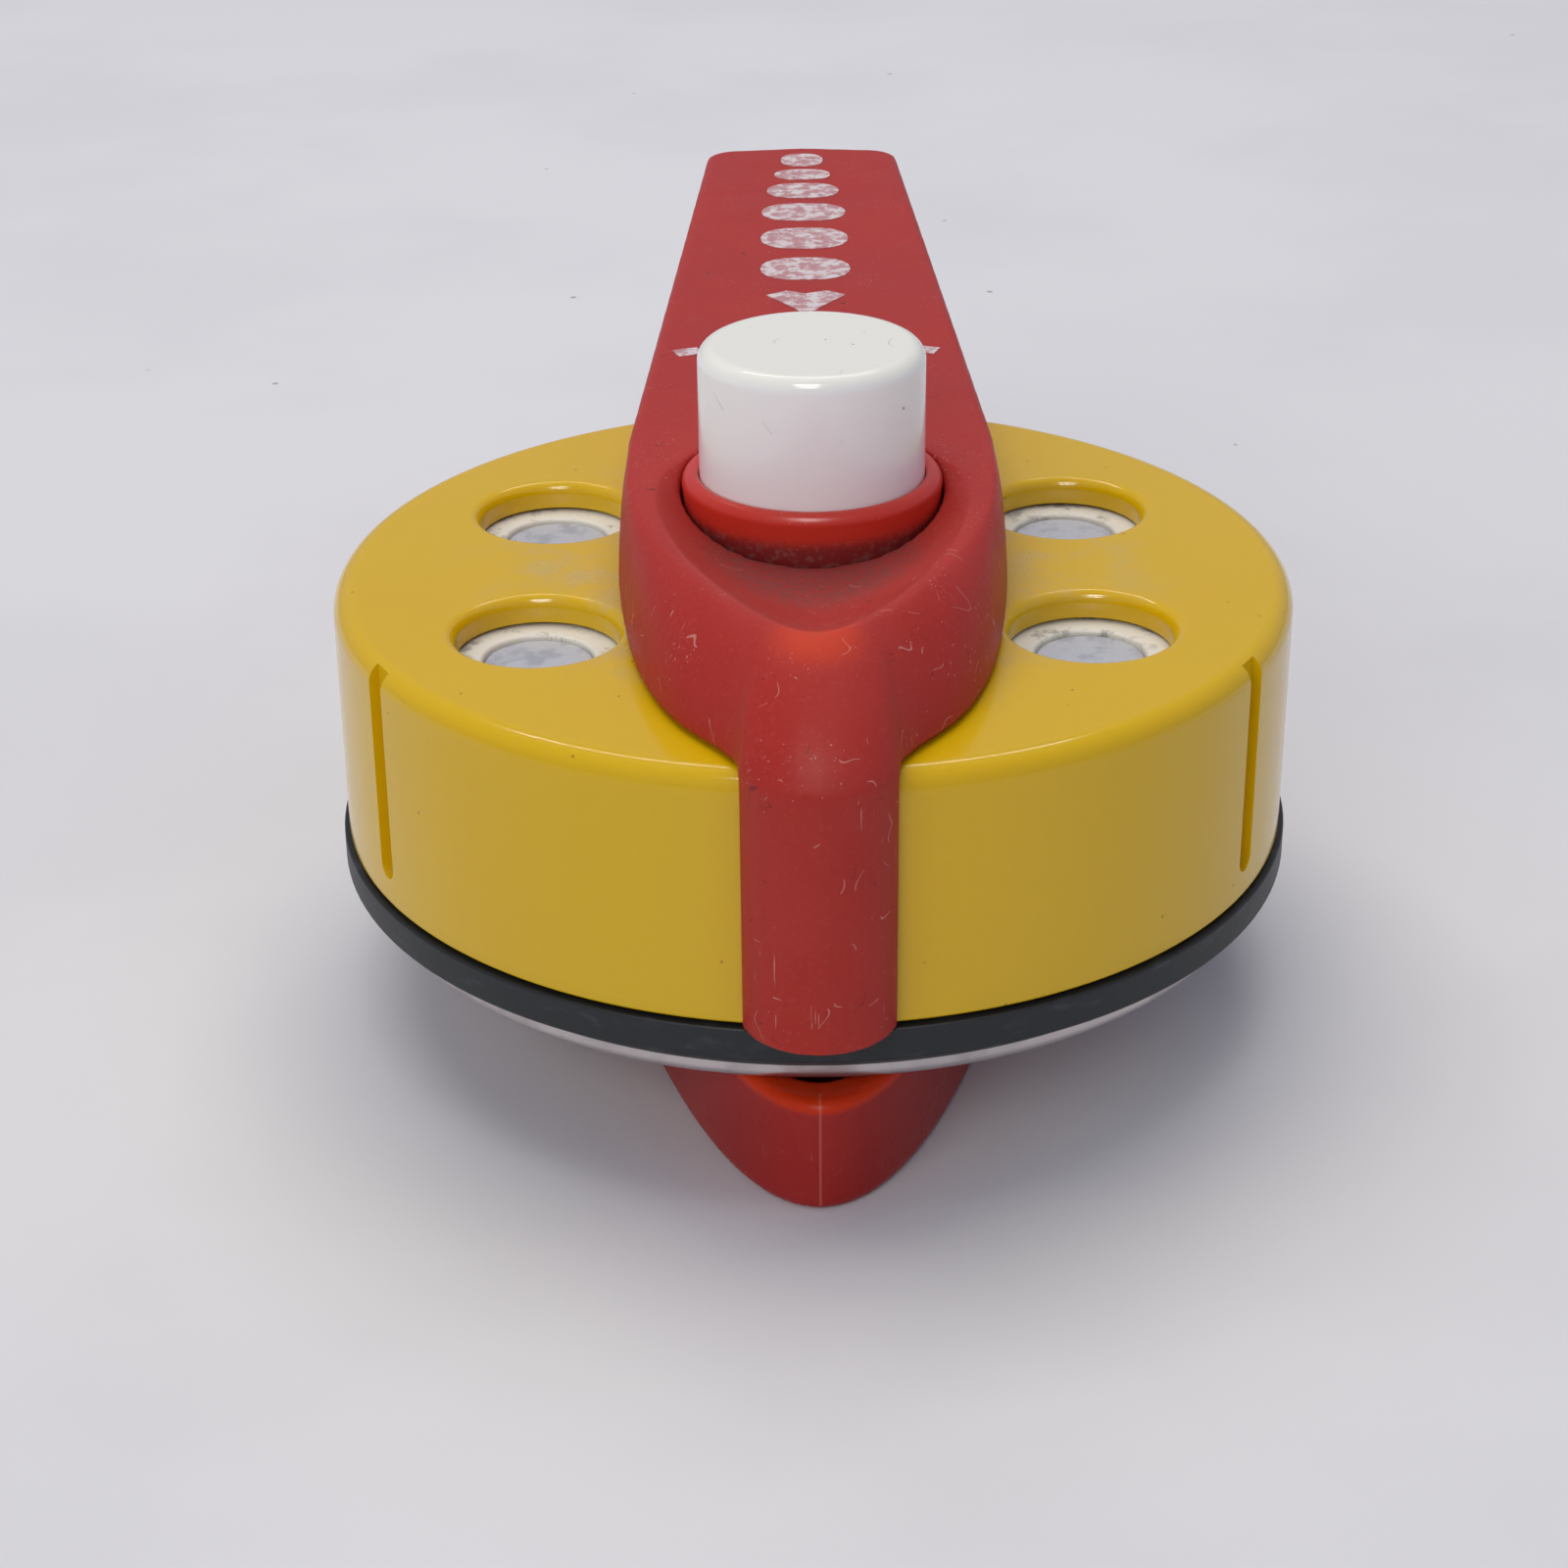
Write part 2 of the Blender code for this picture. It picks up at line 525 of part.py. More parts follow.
def stop_pin_top():
    return ROTOR_BOTTOM + ROTOR_THICKNESS / 2


def make_stop_pin(material):
    """Pin under the rotor: the ends of its slot set the lever's swing."""
    turned("stop_pin", cylinder_profile(STOP_PIN_RADIUS, BASE_TOP - STOP_PIN_REACH, stop_pin_top()),
           COARSE, material, stop_pin_place())


def make_magnets(sleeve_material, magnet_material):
    """Upper magnets, each in a moulded sleeve whose rim shows in a window."""
    inner = SLEEVE_RADIUS - SLEEVE_WALL
    bottom = ROTOR_BOTTOM + GAP
    floor = bottom + SLEEVE_FLOOR
    sleeve = [(0, bottom), (SLEEVE_RADIUS, bottom), (SLEEVE_RADIUS, MAGNET_TOP),
              (inner, MAGNET_TOP), (inner, floor), (0, floor)]
    magnet = cylinder_profile(inner - GAP, floor + GAP, MAGNET_TOP - GAP)
    for number, place in enumerate(magnet_places(), 1):
        turned(f"magnet_sleeve_{number}", sleeve, COARSE, sleeve_material, place)
        turned(f"upper_magnet_{number}", magnet, COARSE, magnet_material, place)


def make_guide_bush(material):
    """Bush in the rotor that guides the plunger and turns in the base body."""
    profile = [(GUIDE_BORE_RADIUS, JOURNAL_BOTTOM), (JOURNAL_RADIUS, JOURNAL_BOTTOM),
               (JOURNAL_RADIUS, ROTOR_BOTTOM - GAP), (GUIDE_RADIUS, ROTOR_BOTTOM - GAP),
               (GUIDE_RADIUS, ROTOR_TOP - GAP), (GUIDE_BORE_RADIUS, ROTOR_TOP - GAP)]
    turned("guide_bush", profile, 24, material)


def make_lever_screws(material):
    socket = LEVER_SCREW_RADIUS
    bottom = ROTOR_BOTTOM + GAP
    seat = bottom + LEVER_SCREW_HEAD_HEIGHT
    profile = [(0, bottom + SOCKET_DEPTH), (socket, bottom + SOCKET_DEPTH), (socket, bottom),
               (LEVER_SCREW_HEAD, bottom), (LEVER_SCREW_HEAD, seat), (LEVER_SCREW_RADIUS, seat),
               (LEVER_SCREW_RADIUS, BOSS_BOTTOM + LEVER_SCREW_BITE), (0, BOSS_BOTTOM + LEVER_SCREW_BITE)]
    for number, place in enumerate(lever_screw_places(), 1):
        turned(f"lever_screw_{number}", profile, COARSE, material, place)


def bow_outline(tip, nose, shares):
    """Half outline of the hub's bow: half-widths at shares of the way from its middle to its tip."""
    knots = [(HUB_HALF_WIDTH * width, -tip * share) for share, width in shares]
    if nose:
        knots += arc((0, -NOSE_CENTRE), NOSE_RADIUS, 0, -math.pi / 2, 4)
    else:
        knots.append((0, -tip))
    return knots


def arm_side():
    """Half outline of the arm, from the hub to the middle of its bowed end."""
    corner = ARM_END - ARM_END_BOW - ARM_CORNER
    points = [(arm_half_width(corner * share), corner * share) for share in (0.15, 0.35, 0.6, 0.8)]
    points += arc((arm_half_width(corner) - ARM_CORNER, corner), ARM_CORNER, 0, math.pi / 2, 4)
    return points + [(0, ARM_END)]


def arm_half_width(y):
    return HUB_HALF_WIDTH + (ARM_END_HALF_WIDTH - HUB_HALF_WIDTH) * y / ARM_END


def lever_solid():
    """Loft from the outline on the cover to the smaller outline of the top."""
    base = bow_outline(NOSE_CENTRE, True, [(0, 1.0), (0.11, 0.99), (0.24, 0.965), (0.53, 0.885), (0.77, 0.715), (0.93, 0.53)])
    top = bow_outline(BRIDGE_LENGTH, False, [(-0.14, 0.995), (-0.03, 0.955), (0.12, 0.875), (0.35, 0.765), (0.54, 0.65),
                                             (0.73, 0.51), (0.87, 0.345), (0.94, 0.23), (0.98, 0.12), (0.995, 0.05)])
    arm = arm_side()
    levels = []
    foot = BOW_FOOT / HUB_HEIGHT
    for height, bulge in ((0, 0), (foot, 0), (0.5, 0.13), (0.8, 0.38), (0.95, 0.68), (1, 1)):
        side = [(Vector(a).lerp(Vector(b), bulge)) for a, b in zip(reversed(base), reversed(top))]
        inset = 1 - ARM_DRAFT * bulge
        side += [Vector((x * inset, y)) for x, y in arm]
        loop = side + [Vector((-p.x, p.y)) for p in reversed(side[1:-1])]
        levels.append([(p.x, p.y, LEVER_BOTTOM + HUB_HEIGHT * height) for p in loop])
    bm = bmesh.new()
    rings = [[bm.verts.new(point) for point in level] for level in levels]
    count = len(rings[0])
    for lower, upper in zip(rings, rings[1:]):
        for i in range(count):
            j = (i + 1) % count
            bm.faces.new((lower[i], lower[j], upper[j], upper[i]))
    bm.faces.new(rings[0])
    bm.faces.new(rings[-1])
    return bm


def arm_pockets():
    """Lightening pockets in the underside of the arm: two columns, with ribs between them."""
    cuts = []
    room = ARM_END - ARM_CORNER - ARM_WALL - ARM_POCKET_START
    length = (room - ARM_RIB * (ARM_POCKET_ROWS - 1)) / ARM_POCKET_ROWS
    for row in range(ARM_POCKET_ROWS):
        near = ARM_POCKET_START + row * (length + ARM_RIB)
        far = near + length
        for side in (-1, 1):
            inner = side * ARM_RIB / 2
            outline = [(inner, near), (side * (arm_half_width(near) - ARM_WALL), near),
                       (side * (arm_half_width(far) - ARM_WALL), far), (inner, far)]
            cuts.append(prism_mesh(outline, LEVER_BOTTOM - GAP, LEVER_BOTTOM + ARM_POCKET_DEPTH))
    return cuts


def nose_outline():
    """Crescent: half-round outside, and concentric with the cover inside."""
    radius = NOSE_RADIUS - NOSE_INSET
    inner = NOSE_CLEARANCE_RADIUS
    y = (inner ** 2 + NOSE_CENTRE ** 2 - radius ** 2) / (2 * NOSE_CENTRE)
    turn = math.asin((y - NOSE_CENTRE) / radius)
    outline = arc((0, -NOSE_CENTRE), radius, math.pi + turn, math.tau - turn, 14)
    edge = math.acos(y / inner)
    outline += arc((0, 0), inner, -math.pi / 2 + edge, -math.pi / 2 - edge, 6)[1:-1]
    return outline


def make_lever(material):
    """One moulding: hub, arm, boss through the cover and the nose down the front."""
    lever = link("lever_handle", lever_solid(), material)
    boss = turned_mesh(cylinder_profile(HUB_BOSS_RADIUS, BOSS_BOTTOM, LEVER_BOTTOM + BOW_FOOT), MIDDLE)
    combine(lever, [boss], "UNION")
    combine(lever, [prism_mesh(nose_outline(), COVER_BOTTOM, LEVER_BOTTOM + BOW_FOOT / 2)], "UNION")
    collar = COLLAR_OUTER_RADIUS + GAP
    seat = COLLAR_BOTTOM - GAP
    bore = [(0, BOSS_BOTTOM - GAP), (HUB_BORE_RADIUS, BOSS_BOTTOM - GAP), (HUB_BORE_RADIUS, seat),
            (collar, seat), (collar, LEVER_TOP + GAP), (0, LEVER_TOP + GAP)]
    combine(lever, [turned_mesh(bore, MIDDLE)])
    scoop = bmesh.new()
    bmesh.ops.create_uvsphere(scoop, u_segments=24, v_segments=12, radius=1.0)
    bmesh.ops.scale(scoop, verts=scoop.verts, vec=(SCOOP_HALF_WIDTH, SCOOP_HALF_LENGTH, SCOOP_DEPTH))
    bmesh.ops.translate(scoop, verts=scoop.verts, vec=(0, -SCOOP_CENTRE, LEVER_TOP + GAP / 3))
    combine(lever, [scoop])
    holes = cylinders(LEVER_SCREW_RADIUS + GAP, BOSS_BOTTOM - GAP, BOSS_BOTTOM + LEVER_SCREW_BITE + GAP,
                      lever_screw_places(), 12)
    combine(lever, arm_pockets() + holes)
    return lever


def make_collar(material):
    """Guide collar of the button, pressed into the hub."""
    edge = 0.4 * MM
    profile = [(COLLAR_INNER_RADIUS, COLLAR_BOTTOM), (COLLAR_OUTER_RADIUS, COLLAR_BOTTOM),
               (COLLAR_OUTER_RADIUS, COLLAR_TOP - edge), (COLLAR_OUTER_RADIUS - edge, COLLAR_TOP),
               (COLLAR_INNER_RADIUS, COLLAR_TOP)]
    turned("button_collar", profile, MIDDLE, material)


def make_button(material):
    """Push button: a cap with a boss inside for the plunger."""
    inner = BUTTON_RADIUS - BUTTON_WALL
    boss_bottom = BUTTON_INNER_TOP - BUTTON_BOSS_HEIGHT
    bore = STUD_RADIUS + GAP
    profile = [(BUTTON_RADIUS, BUTTON_BOTTOM)]
    profile += arc((BUTTON_RADIUS - BUTTON_FILLET, BUTTON_TOP - BUTTON_FILLET), BUTTON_FILLET, 0, math.pi / 2, 4)
    profile += [(0, BUTTON_TOP), (0, boss_bottom + STUD_LENGTH + GAP), (bore, boss_bottom + STUD_LENGTH + GAP),
                (bore, boss_bottom), (BUTTON_BOSS_RADIUS, boss_bottom), (BUTTON_BOSS_RADIUS, BUTTON_INNER_TOP),
                (inner, BUTTON_INNER_TOP), (inner, BUTTON_BOTTOM)]
    turned("button_cap", profile, MIDDLE, material)


def make_plunger(material):
    """Release plunger, flush with the face until the button is pressed."""
    groove = PLUNGER_RADIUS - CLIP_GROOVE
    profile = [(0, PLUNGER_BOTTOM), (PLUNGER_RADIUS, PLUNGER_BOTTOM),
               (PLUNGER_RADIUS, CLIP_BOTTOM - GAP), (groove, CLIP_BOTTOM - GAP), (groove, CLIP_TOP + GAP / 2),
               (PLUNGER_RADIUS, CLIP_TOP + GAP / 2), (PLUNGER_RADIUS, PLUNGER_SHOULDER),
               (STUD_RADIUS, PLUNGER_SHOULDER), (STUD_RADIUS, PLUNGER_SHOULDER + STUD_LENGTH),
               (0, PLUNGER_SHOULDER + STUD_LENGTH)]
    turned("release_plunger", profile, 24, material)


def make_clip(material):
    """Snap ring on the plunger: it stops the button from leaving the hub."""
    inner = PLUNGER_RADIUS - CLIP_GROOVE + GAP
    start = -math.pi / 2 + CLIP_OPENING / 2
    end = start + math.tau - CLIP_OPENING
    outline = arc((0, 0), CLIP_RADIUS, start, end, 20) + arc((0, 0), inner, end, start, 20)
    link("plunger_clip", prism_mesh(outline, CLIP_BOTTOM, CLIP_TOP), material)


def make_spring(material):
    """Return spring between the rotor and the button."""
    bottom = ROTOR_TOP + GAP + SPRING_WIRE_RADIUS
    top = BUTTON_INNER_TOP - GAP - SPRING_WIRE_RADIUS
    steps = 12
    sides = 5
    bm = bmesh.new()
    rings = []
    total = SPRING_TURNS * steps
    for step in range(total + 1):
        angle = math.tau * step / steps
        height = bottom + (top - bottom) * step / total
        ring = []
        for side in range(sides):
            turn = math.tau * side / sides
            radius = SPRING_MEAN_RADIUS + SPRING_WIRE_RADIUS * math.cos(turn)
            ring.append(bm.verts.new(on_circle(radius, angle, height + SPRING_WIRE_RADIUS * math.sin(turn))))
        rings.append(ring)
    for a, b in zip(rings, rings[1:]):
        for side in range(sides):
            following = (side + 1) % sides
            bm.faces.new((a[side], a[following], b[following], b[side]))
    bm.faces.new(rings[0])
    bm.faces.new(rings[-1])
    link("return_spring", bm, material)


def keeper_outline():
    """Boat-shaped outline: a parabola at the tip runs on into a round stern."""
    half = math.sqrt(KEEPER_HALF_WIDTH ** 2 - KEEPER_TIP_RADIUS ** 2)
    join = KEEPER_STERN_CENTRE - KEEPER_TIP_RADIUS
    tip = join - half ** 2 / (2 * KEEPER_TIP_RADIUS)
    steps = 12
    points = [(half * step / steps, tip + (join - tip) * (step / steps) ** 2) for step in range(-steps, steps)]
    turn = math.asin(KEEPER_TIP_RADIUS / KEEPER_HALF_WIDTH)
    return points + arc((0, KEEPER_STERN_CENTRE), KEEPER_HALF_WIDTH, -turn, math.pi + turn, 26)[:-1]


def make_keeper(material):
    """Moulded keeper with an eye in its nose, a seat for the steel plate and room for the plunger."""
    keeper = link("keeper_shoe", prism_mesh(keeper_outline(), 0, KEEPER_HEIGHT), material)
    bevel = keeper.modifiers.new("edge", "BEVEL")
    bevel.width = KEEPER_EDGE
    bevel.segments = 2
    bevel.limit_method = "ANGLE"
    bevel.angle_limit = math.radians(60)
    seat = KEEPER_HEIGHT - PLATE_THICKNESS - GAP
    cuts = [turned_mesh(cylinder_profile(PLATE_RADIUS + GAP, seat, KEEPER_HEIGHT + GAP), 48, (0, PLATE_CENTRE, 0)),
            turned_mesh(cylinder_profile(KEEPER_EYE_RADIUS, -GAP, KEEPER_HEIGHT + GAP), 24,
                        (0, -KEEPER_EYE_CENTRE, 0))]
    combine(keeper, cuts)
    deep = cylinders(KEEPER_POCKET_RADIUS, KEEPER_HEIGHT - KEEPER_POCKET_DEPTH, KEEPER_HEIGHT, [Vector((0, 0, 0))], 24)
    deep += cylinders(KEEPER_SCREW_RADIUS + GAP, KEEPER_HEIGHT - KEEPER_SCREW_LENGTH - 2 * GAP, KEEPER_HEIGHT,
                      keeper_screw_places(), 16)
    combine(keeper, deep)
    return keeper


def make_keeper_plate(material):
    """Steel armature that bridges the poles."""
    bottom = KEEPER_HEIGHT - PLATE_THICKNESS
    plate = turned("keeper_plate", cylinder_profile(PLATE_RADIUS, bottom, KEEPER_HEIGHT), 48, material,
                   (0, PLATE_CENTRE, 0))
    sink = KEEPER_SCREW_HEAD - KEEPER_SCREW_RADIUS
    hole = KEEPER_SCREW_RADIUS + GAP
    countersink = [(0, bottom - GAP), (hole, bottom - GAP), (hole, KEEPER_HEIGHT - sink - GAP),
                   (KEEPER_SCREW_HEAD + GAP, KEEPER_HEIGHT), (KEEPER_SCREW_HEAD + GAP, KEEPER_HEIGHT + GAP),
                   (0, KEEPER_HEIGHT + GAP)]
    cuts = [turned_mesh(countersink, COARSE, place) for place in keeper_screw_places()]
    cuts += cylinders(KEEPER_POCKET_RADIUS, bottom - GAP, KEEPER_HEIGHT + GAP, [Vector((0, 0, 0))], 24)
    cuts += cylinders(DOWEL_RADIUS + GAP, DOWEL_SOCKET_BOTTOM, KEEPER_HEIGHT + GAP, dowel_places())
    combine(plate, cuts)


def make_keeper_dowels(material):
    """Dowels of the keeper plate that enter the face and the base body."""
    bottom = DOWEL_SOCKET_BOTTOM + GAP
    top = FACE_BOTTOM + DOWEL_RISE
    edge = 0.5 * MM
    profile = [(0, bottom), (DOWEL_RADIUS, bottom), (DOWEL_RADIUS, top - edge), (DOWEL_RADIUS - edge, top), (0, top)]
    for number, place in enumerate(dowel_places(), 1):
        turned(f"keeper_dowel_{number}", profile, COARSE, material, place)


def make_keeper_screws(material):
    top = KEEPER_HEIGHT - GAP / 3
    sink = KEEPER_SCREW_HEAD - KEEPER_SCREW_RADIUS
    socket = KEEPER_SCREW_RADIUS * SOCKET_SHARE
    bottom = top - KEEPER_SCREW_LENGTH
    profile = [(0, bottom), (KEEPER_SCREW_RADIUS, bottom), (KEEPER_SCREW_RADIUS, top - sink),
               (KEEPER_SCREW_HEAD, top), (socket, top), (socket, top - SOCKET_DEPTH), (0, top - SOCKET_DEPTH)]
    for number, place in enumerate(keeper_screw_places(), 1):
        turned(f"keeper_screw_{number}", profile, COARSE, material, place)


def main():
    clear_scene()
    yellow = make_material("yellow_moulding", (0.60, 0.38, 0.03), 0.3)
    red = make_material("red_moulding", (0.40, 0.04, 0.05), 0.4)
    orange = make_material("orange_red_moulding", (0.50, 0.03, 0.02), 0.35)
    white = make_material("white_moulding", (0.78, 0.76, 0.68), 0.3)
    rubber = make_material("black_rubber", (0.03, 0.035, 0.04), 0.7)
    steel = make_material("ground_steel", (0.55, 0.53, 0.53), 0.35, 1.0)
    nickel = make_material("nickel", (0.50, 0.53, 0.58), 0.35, 1.0)
    aluminium = make_material("cast_aluminium", (0.60, 0.61, 0.62), 0.45, 1.0)
    brass = make_material("brass", (0.62, 0.45, 0.16), 0.35, 1.0)
    nylon = make_material("nylon", (0.70, 0.68, 0.60), 0.45)

    make_keeper(red)
    make_keeper_plate(steel)
    make_keeper_dowels(steel)
    make_keeper_screws(nickel)
    make_face_plate(steel)
    make_friction_ring(rubber)
    make_base_body(aluminium)
    make_lower_magnets(nickel)
    make_cover(yellow)
    make_cover_screws(nickel)
    make_hub_bush(brass)
    make_thrust_washer(nylon)
    make_rotor(aluminium)
    make_stop_pin(steel)
    make_magnets(nylon, nickel)
    make_guide_bush(brass)
    make_lever_screws(nickel)
    make_lever(red)
    make_collar(orange)
    make_button(white)
    make_plunger(steel)
    make_clip(steel)
    make_spring(steel)


main()
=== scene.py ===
import json
import math

import bmesh
import bpy
from mathutils import Matrix, Vector


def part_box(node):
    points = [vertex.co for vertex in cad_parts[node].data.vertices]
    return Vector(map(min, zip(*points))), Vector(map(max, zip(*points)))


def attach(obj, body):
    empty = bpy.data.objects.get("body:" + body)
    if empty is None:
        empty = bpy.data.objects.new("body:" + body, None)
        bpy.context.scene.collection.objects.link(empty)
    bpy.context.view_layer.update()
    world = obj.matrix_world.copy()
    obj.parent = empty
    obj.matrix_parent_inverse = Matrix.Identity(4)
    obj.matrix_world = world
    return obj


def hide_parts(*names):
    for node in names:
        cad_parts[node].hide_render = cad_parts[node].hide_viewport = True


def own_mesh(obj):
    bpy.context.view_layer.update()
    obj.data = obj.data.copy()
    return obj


mm = 0.001

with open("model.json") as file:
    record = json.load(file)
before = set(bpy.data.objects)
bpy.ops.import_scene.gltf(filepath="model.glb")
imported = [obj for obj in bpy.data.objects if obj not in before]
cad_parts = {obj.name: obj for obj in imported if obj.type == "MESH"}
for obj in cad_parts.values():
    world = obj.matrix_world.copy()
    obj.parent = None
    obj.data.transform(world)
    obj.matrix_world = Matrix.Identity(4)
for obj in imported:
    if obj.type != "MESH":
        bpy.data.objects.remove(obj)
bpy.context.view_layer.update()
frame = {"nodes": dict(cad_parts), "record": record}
print("frame loaded:", len(frame["nodes"]), "nodes")

# Places in the frame that the finishes and the pieces share.
coverLow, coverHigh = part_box("cover")
coverRadius = coverHigh[0]
coverTop = coverHigh[2]
coverBottom = coverLow[2]
leverLow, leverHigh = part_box("lever_handle")
hubTop = leverHigh[2]
collarLow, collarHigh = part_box("button_collar")
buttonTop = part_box("button_cap")[1][2]
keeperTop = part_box("keeper_shoe")[1][2]
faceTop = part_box("face_plate")[1][2]


# Node materials: small helpers that keep the recipes short.
def startMaterial(name, roughness, metallic=0.0):
    made = bpy.data.materials.new(name)
    made.use_nodes = True
    shader = made.node_tree.nodes["Principled BSDF"]
    shader.inputs["Roughness"].default_value = roughness
    shader.inputs["Metallic"].default_value = metallic
    return made, made.node_tree, shader


# Object coordinates, stretched.
def place(tree, stretch=(1, 1, 1), turn=(0, 0, 0)):
    coords = tree.nodes.new("ShaderNodeTexCoord")
    mapping = tree.nodes.new("ShaderNodeMapping")
    mapping.inputs["Scale"].default_value = stretch
    mapping.inputs["Rotation"].default_value = turn
    tree.links.new(coords.outputs["Object"], mapping.inputs["Vector"])
    return mapping.outputs["Vector"]


# Noise whose blotches are about size metres across.
def grain(tree, size, detail=3.0, stretch=(1, 1, 1), turn=(0, 0, 0), rough=0.55):
    node = tree.nodes.new("ShaderNodeTexNoise")
    node.inputs["Scale"].default_value = 1 / size
    node.inputs["Detail"].default_value = detail
    node.inputs["Roughness"].default_value = rough
    tree.links.new(place(tree, stretch, turn), node.inputs["Vector"])
    return node.outputs["Fac"]


# Turns a value into 0..1 between two limits.
def ramp(tree, value, low, high, dark=0.0, bright=1.0):
    node = tree.nodes.new("ShaderNodeMapRange")
    node.interpolation_type = "SMOOTHSTEP"
    node.inputs["From Min"].default_value = low
    node.inputs["From Max"].default_value = high
    node.inputs["To Min"].default_value = dark
    node.inputs["To Max"].default_value = bright
    tree.links.new(value, node.inputs["Value"])
    return node.outputs["Result"]


def multiply(tree, a, b):
    node = tree.nodes.new("ShaderNodeMath")
    node.operation = "MULTIPLY"
    tree.links.new(a, node.inputs[0])
    tree.links.new(b, node.inputs[1])
    return node.outputs["Value"]


# Mixes a colour over another where the mask is white.
def tint(tree, mask, under, over, amount=1.0):
    node = tree.nodes.new("ShaderNodeMix")
    node.data_type = "RGBA"
    scaled = ramp(tree, mask, 0, 1, 0, amount)
    tree.links.new(scaled, node.inputs["Factor"])
    for socket, colour in ((node.inputs["A"], under), (node.inputs["B"], over)):
        if isinstance(colour, tuple):
            socket.default_value = (*colour, 1)
        else:
            tree.links.new(colour, socket)
    return node.outputs["Result"]


def roughen(tree, shader, mask, smooth, rough):
    tree.links.new(ramp(tree, mask, 0, 1, smooth, rough), shader.inputs["Roughness"])


def bump(tree, shader, height, distance, strength=1.0):
    node = tree.nodes.new("ShaderNodeBump")
    node.inputs["Distance"].default_value = distance
    node.inputs["Strength"].default_value = strength
    tree.links.new(height, node.inputs["Height"])
    tree.links.new(node.outputs["Normal"], shader.inputs["Normal"])
    return node


# 0 at one height of the object, 1 at another.
def heightAbove(tree, low, high):
    split = tree.nodes.new("ShaderNodeSeparateXYZ")
    tree.links.new(place(tree), split.inputs["Vector"])
    return ramp(tree, split.outputs["Z"], low, high)


# Small round spots: dust and pits.
def specks(tree, size, share, jitter=1.0):
    node = tree.nodes.new("ShaderNodeTexVoronoi")
    node.inputs["Scale"].default_value = 1 / size
    node.inputs["Randomness"].default_value = jitter
    tree.links.new(place(tree), node.inputs["Vector"])
    return ramp(tree, node.outputs["Distance"], share, share * 0.45)


# Thin scratches in one direction, present only in patches.
def scratches(tree, length, width, turn, keep):
    lines = grain(tree, width, 1.5, (1, 1, width / length), turn, 0.4)
    patches = grain(tree, length * 1.3, 2.0)
    return multiply(tree, ramp(tree, lines, keep, keep + 0.03), ramp(tree, patches, 0.52, 0.6))


# Curled fibres: short stretches of a noise's contour line.
def lint(tree, size, width, keep):
    away = tree.nodes.new("ShaderNodeMath")
    away.operation = "SUBTRACT"
    away.inputs[1].default_value = 0.5
    tree.links.new(grain(tree, size, 1.0, rough=0.3), away.inputs[0])
    flat = tree.nodes.new("ShaderNodeMath")
    flat.operation = "ABSOLUTE"
    tree.links.new(away.outputs["Value"], flat.inputs[0])
    return multiply(tree, ramp(tree, flat.outputs["Value"], width, width * 0.4),
                    ramp(tree, grain(tree, size * 0.8, 1.0), keep, keep + 0.02))


# 1 near a point of the object, falling to 0 at the given distance.
def near(tree, spot, distance, core=0.0):
    node = tree.nodes.new("ShaderNodeVectorMath")
    node.operation = "DISTANCE"
    node.inputs[1].default_value = spot
    tree.links.new(place(tree), node.inputs[0])
    return ramp(tree, node.outputs["Value"], distance, core)


yellowLook = {"side": (0.700, 0.440, 0.002), "deep": (0.68, 0.385, 0.002), "dust": (0.50, 0.40, 0.20)}
# redLook's soil is the dark of the hollow in front of the collar: soil and painted shade together.
redLook = {"base": (0.400, 0.0290, 0.0205), "bloom": (0.45, 0.060, 0.050), "dust": (0.62, 0.33, 0.28),
           "soil": (0.20, 0.06, 0.055)}
whiteLook = {"base": (0.96, 0.97, 0.93), "warm": (0.84, 0.82, 0.70), "speck": (0.12, 0.10, 0.08)}


def yellowMoulding():
    made, tree, shader = startMaterial("yellowMoulding", 0.16)
    onTop = heightAbove(tree, coverTop - 1.6 * mm, coverTop)
    nearHub = near(tree, (0, 0, coverTop), 40 * mm, 19 * mm)
    patches = ramp(tree, grain(tree, 7 * mm, 7, rough=0.62), 0.34, 0.72)
    dust = multiply(tree, multiply(tree, onTop, nearHub), patches)
    depth = ramp(tree, grain(tree, 40 * mm, 1.5), 0.35, 0.7)
    colour = tint(tree, depth, yellowLook["side"], yellowLook["deep"], 0.18)
    colour = tint(tree, dust, colour, yellowLook["dust"], 0.55)
    colour = tint(tree, specks(tree, 4.1 * mm, 0.045), colour, (0.12, 0.08, 0.02), 0.7)
    tree.links.new(colour, shader.inputs["Base Color"])
    roughen(tree, shader, dust, 0.12, 0.40)
    shader.inputs["Specular IOR Level"].default_value = 0.5
    shader.inputs["Subsurface Weight"].default_value = 0.12
    shader.inputs["Subsurface Radius"].default_value = (3 * mm, 1.6 * mm, 0.1 * mm)
    shader.inputs["Subsurface Scale"].default_value = 1.0
    bump(tree, shader, grain(tree, 9 * mm, 3), 0.03 * mm, 0.4)
    return made


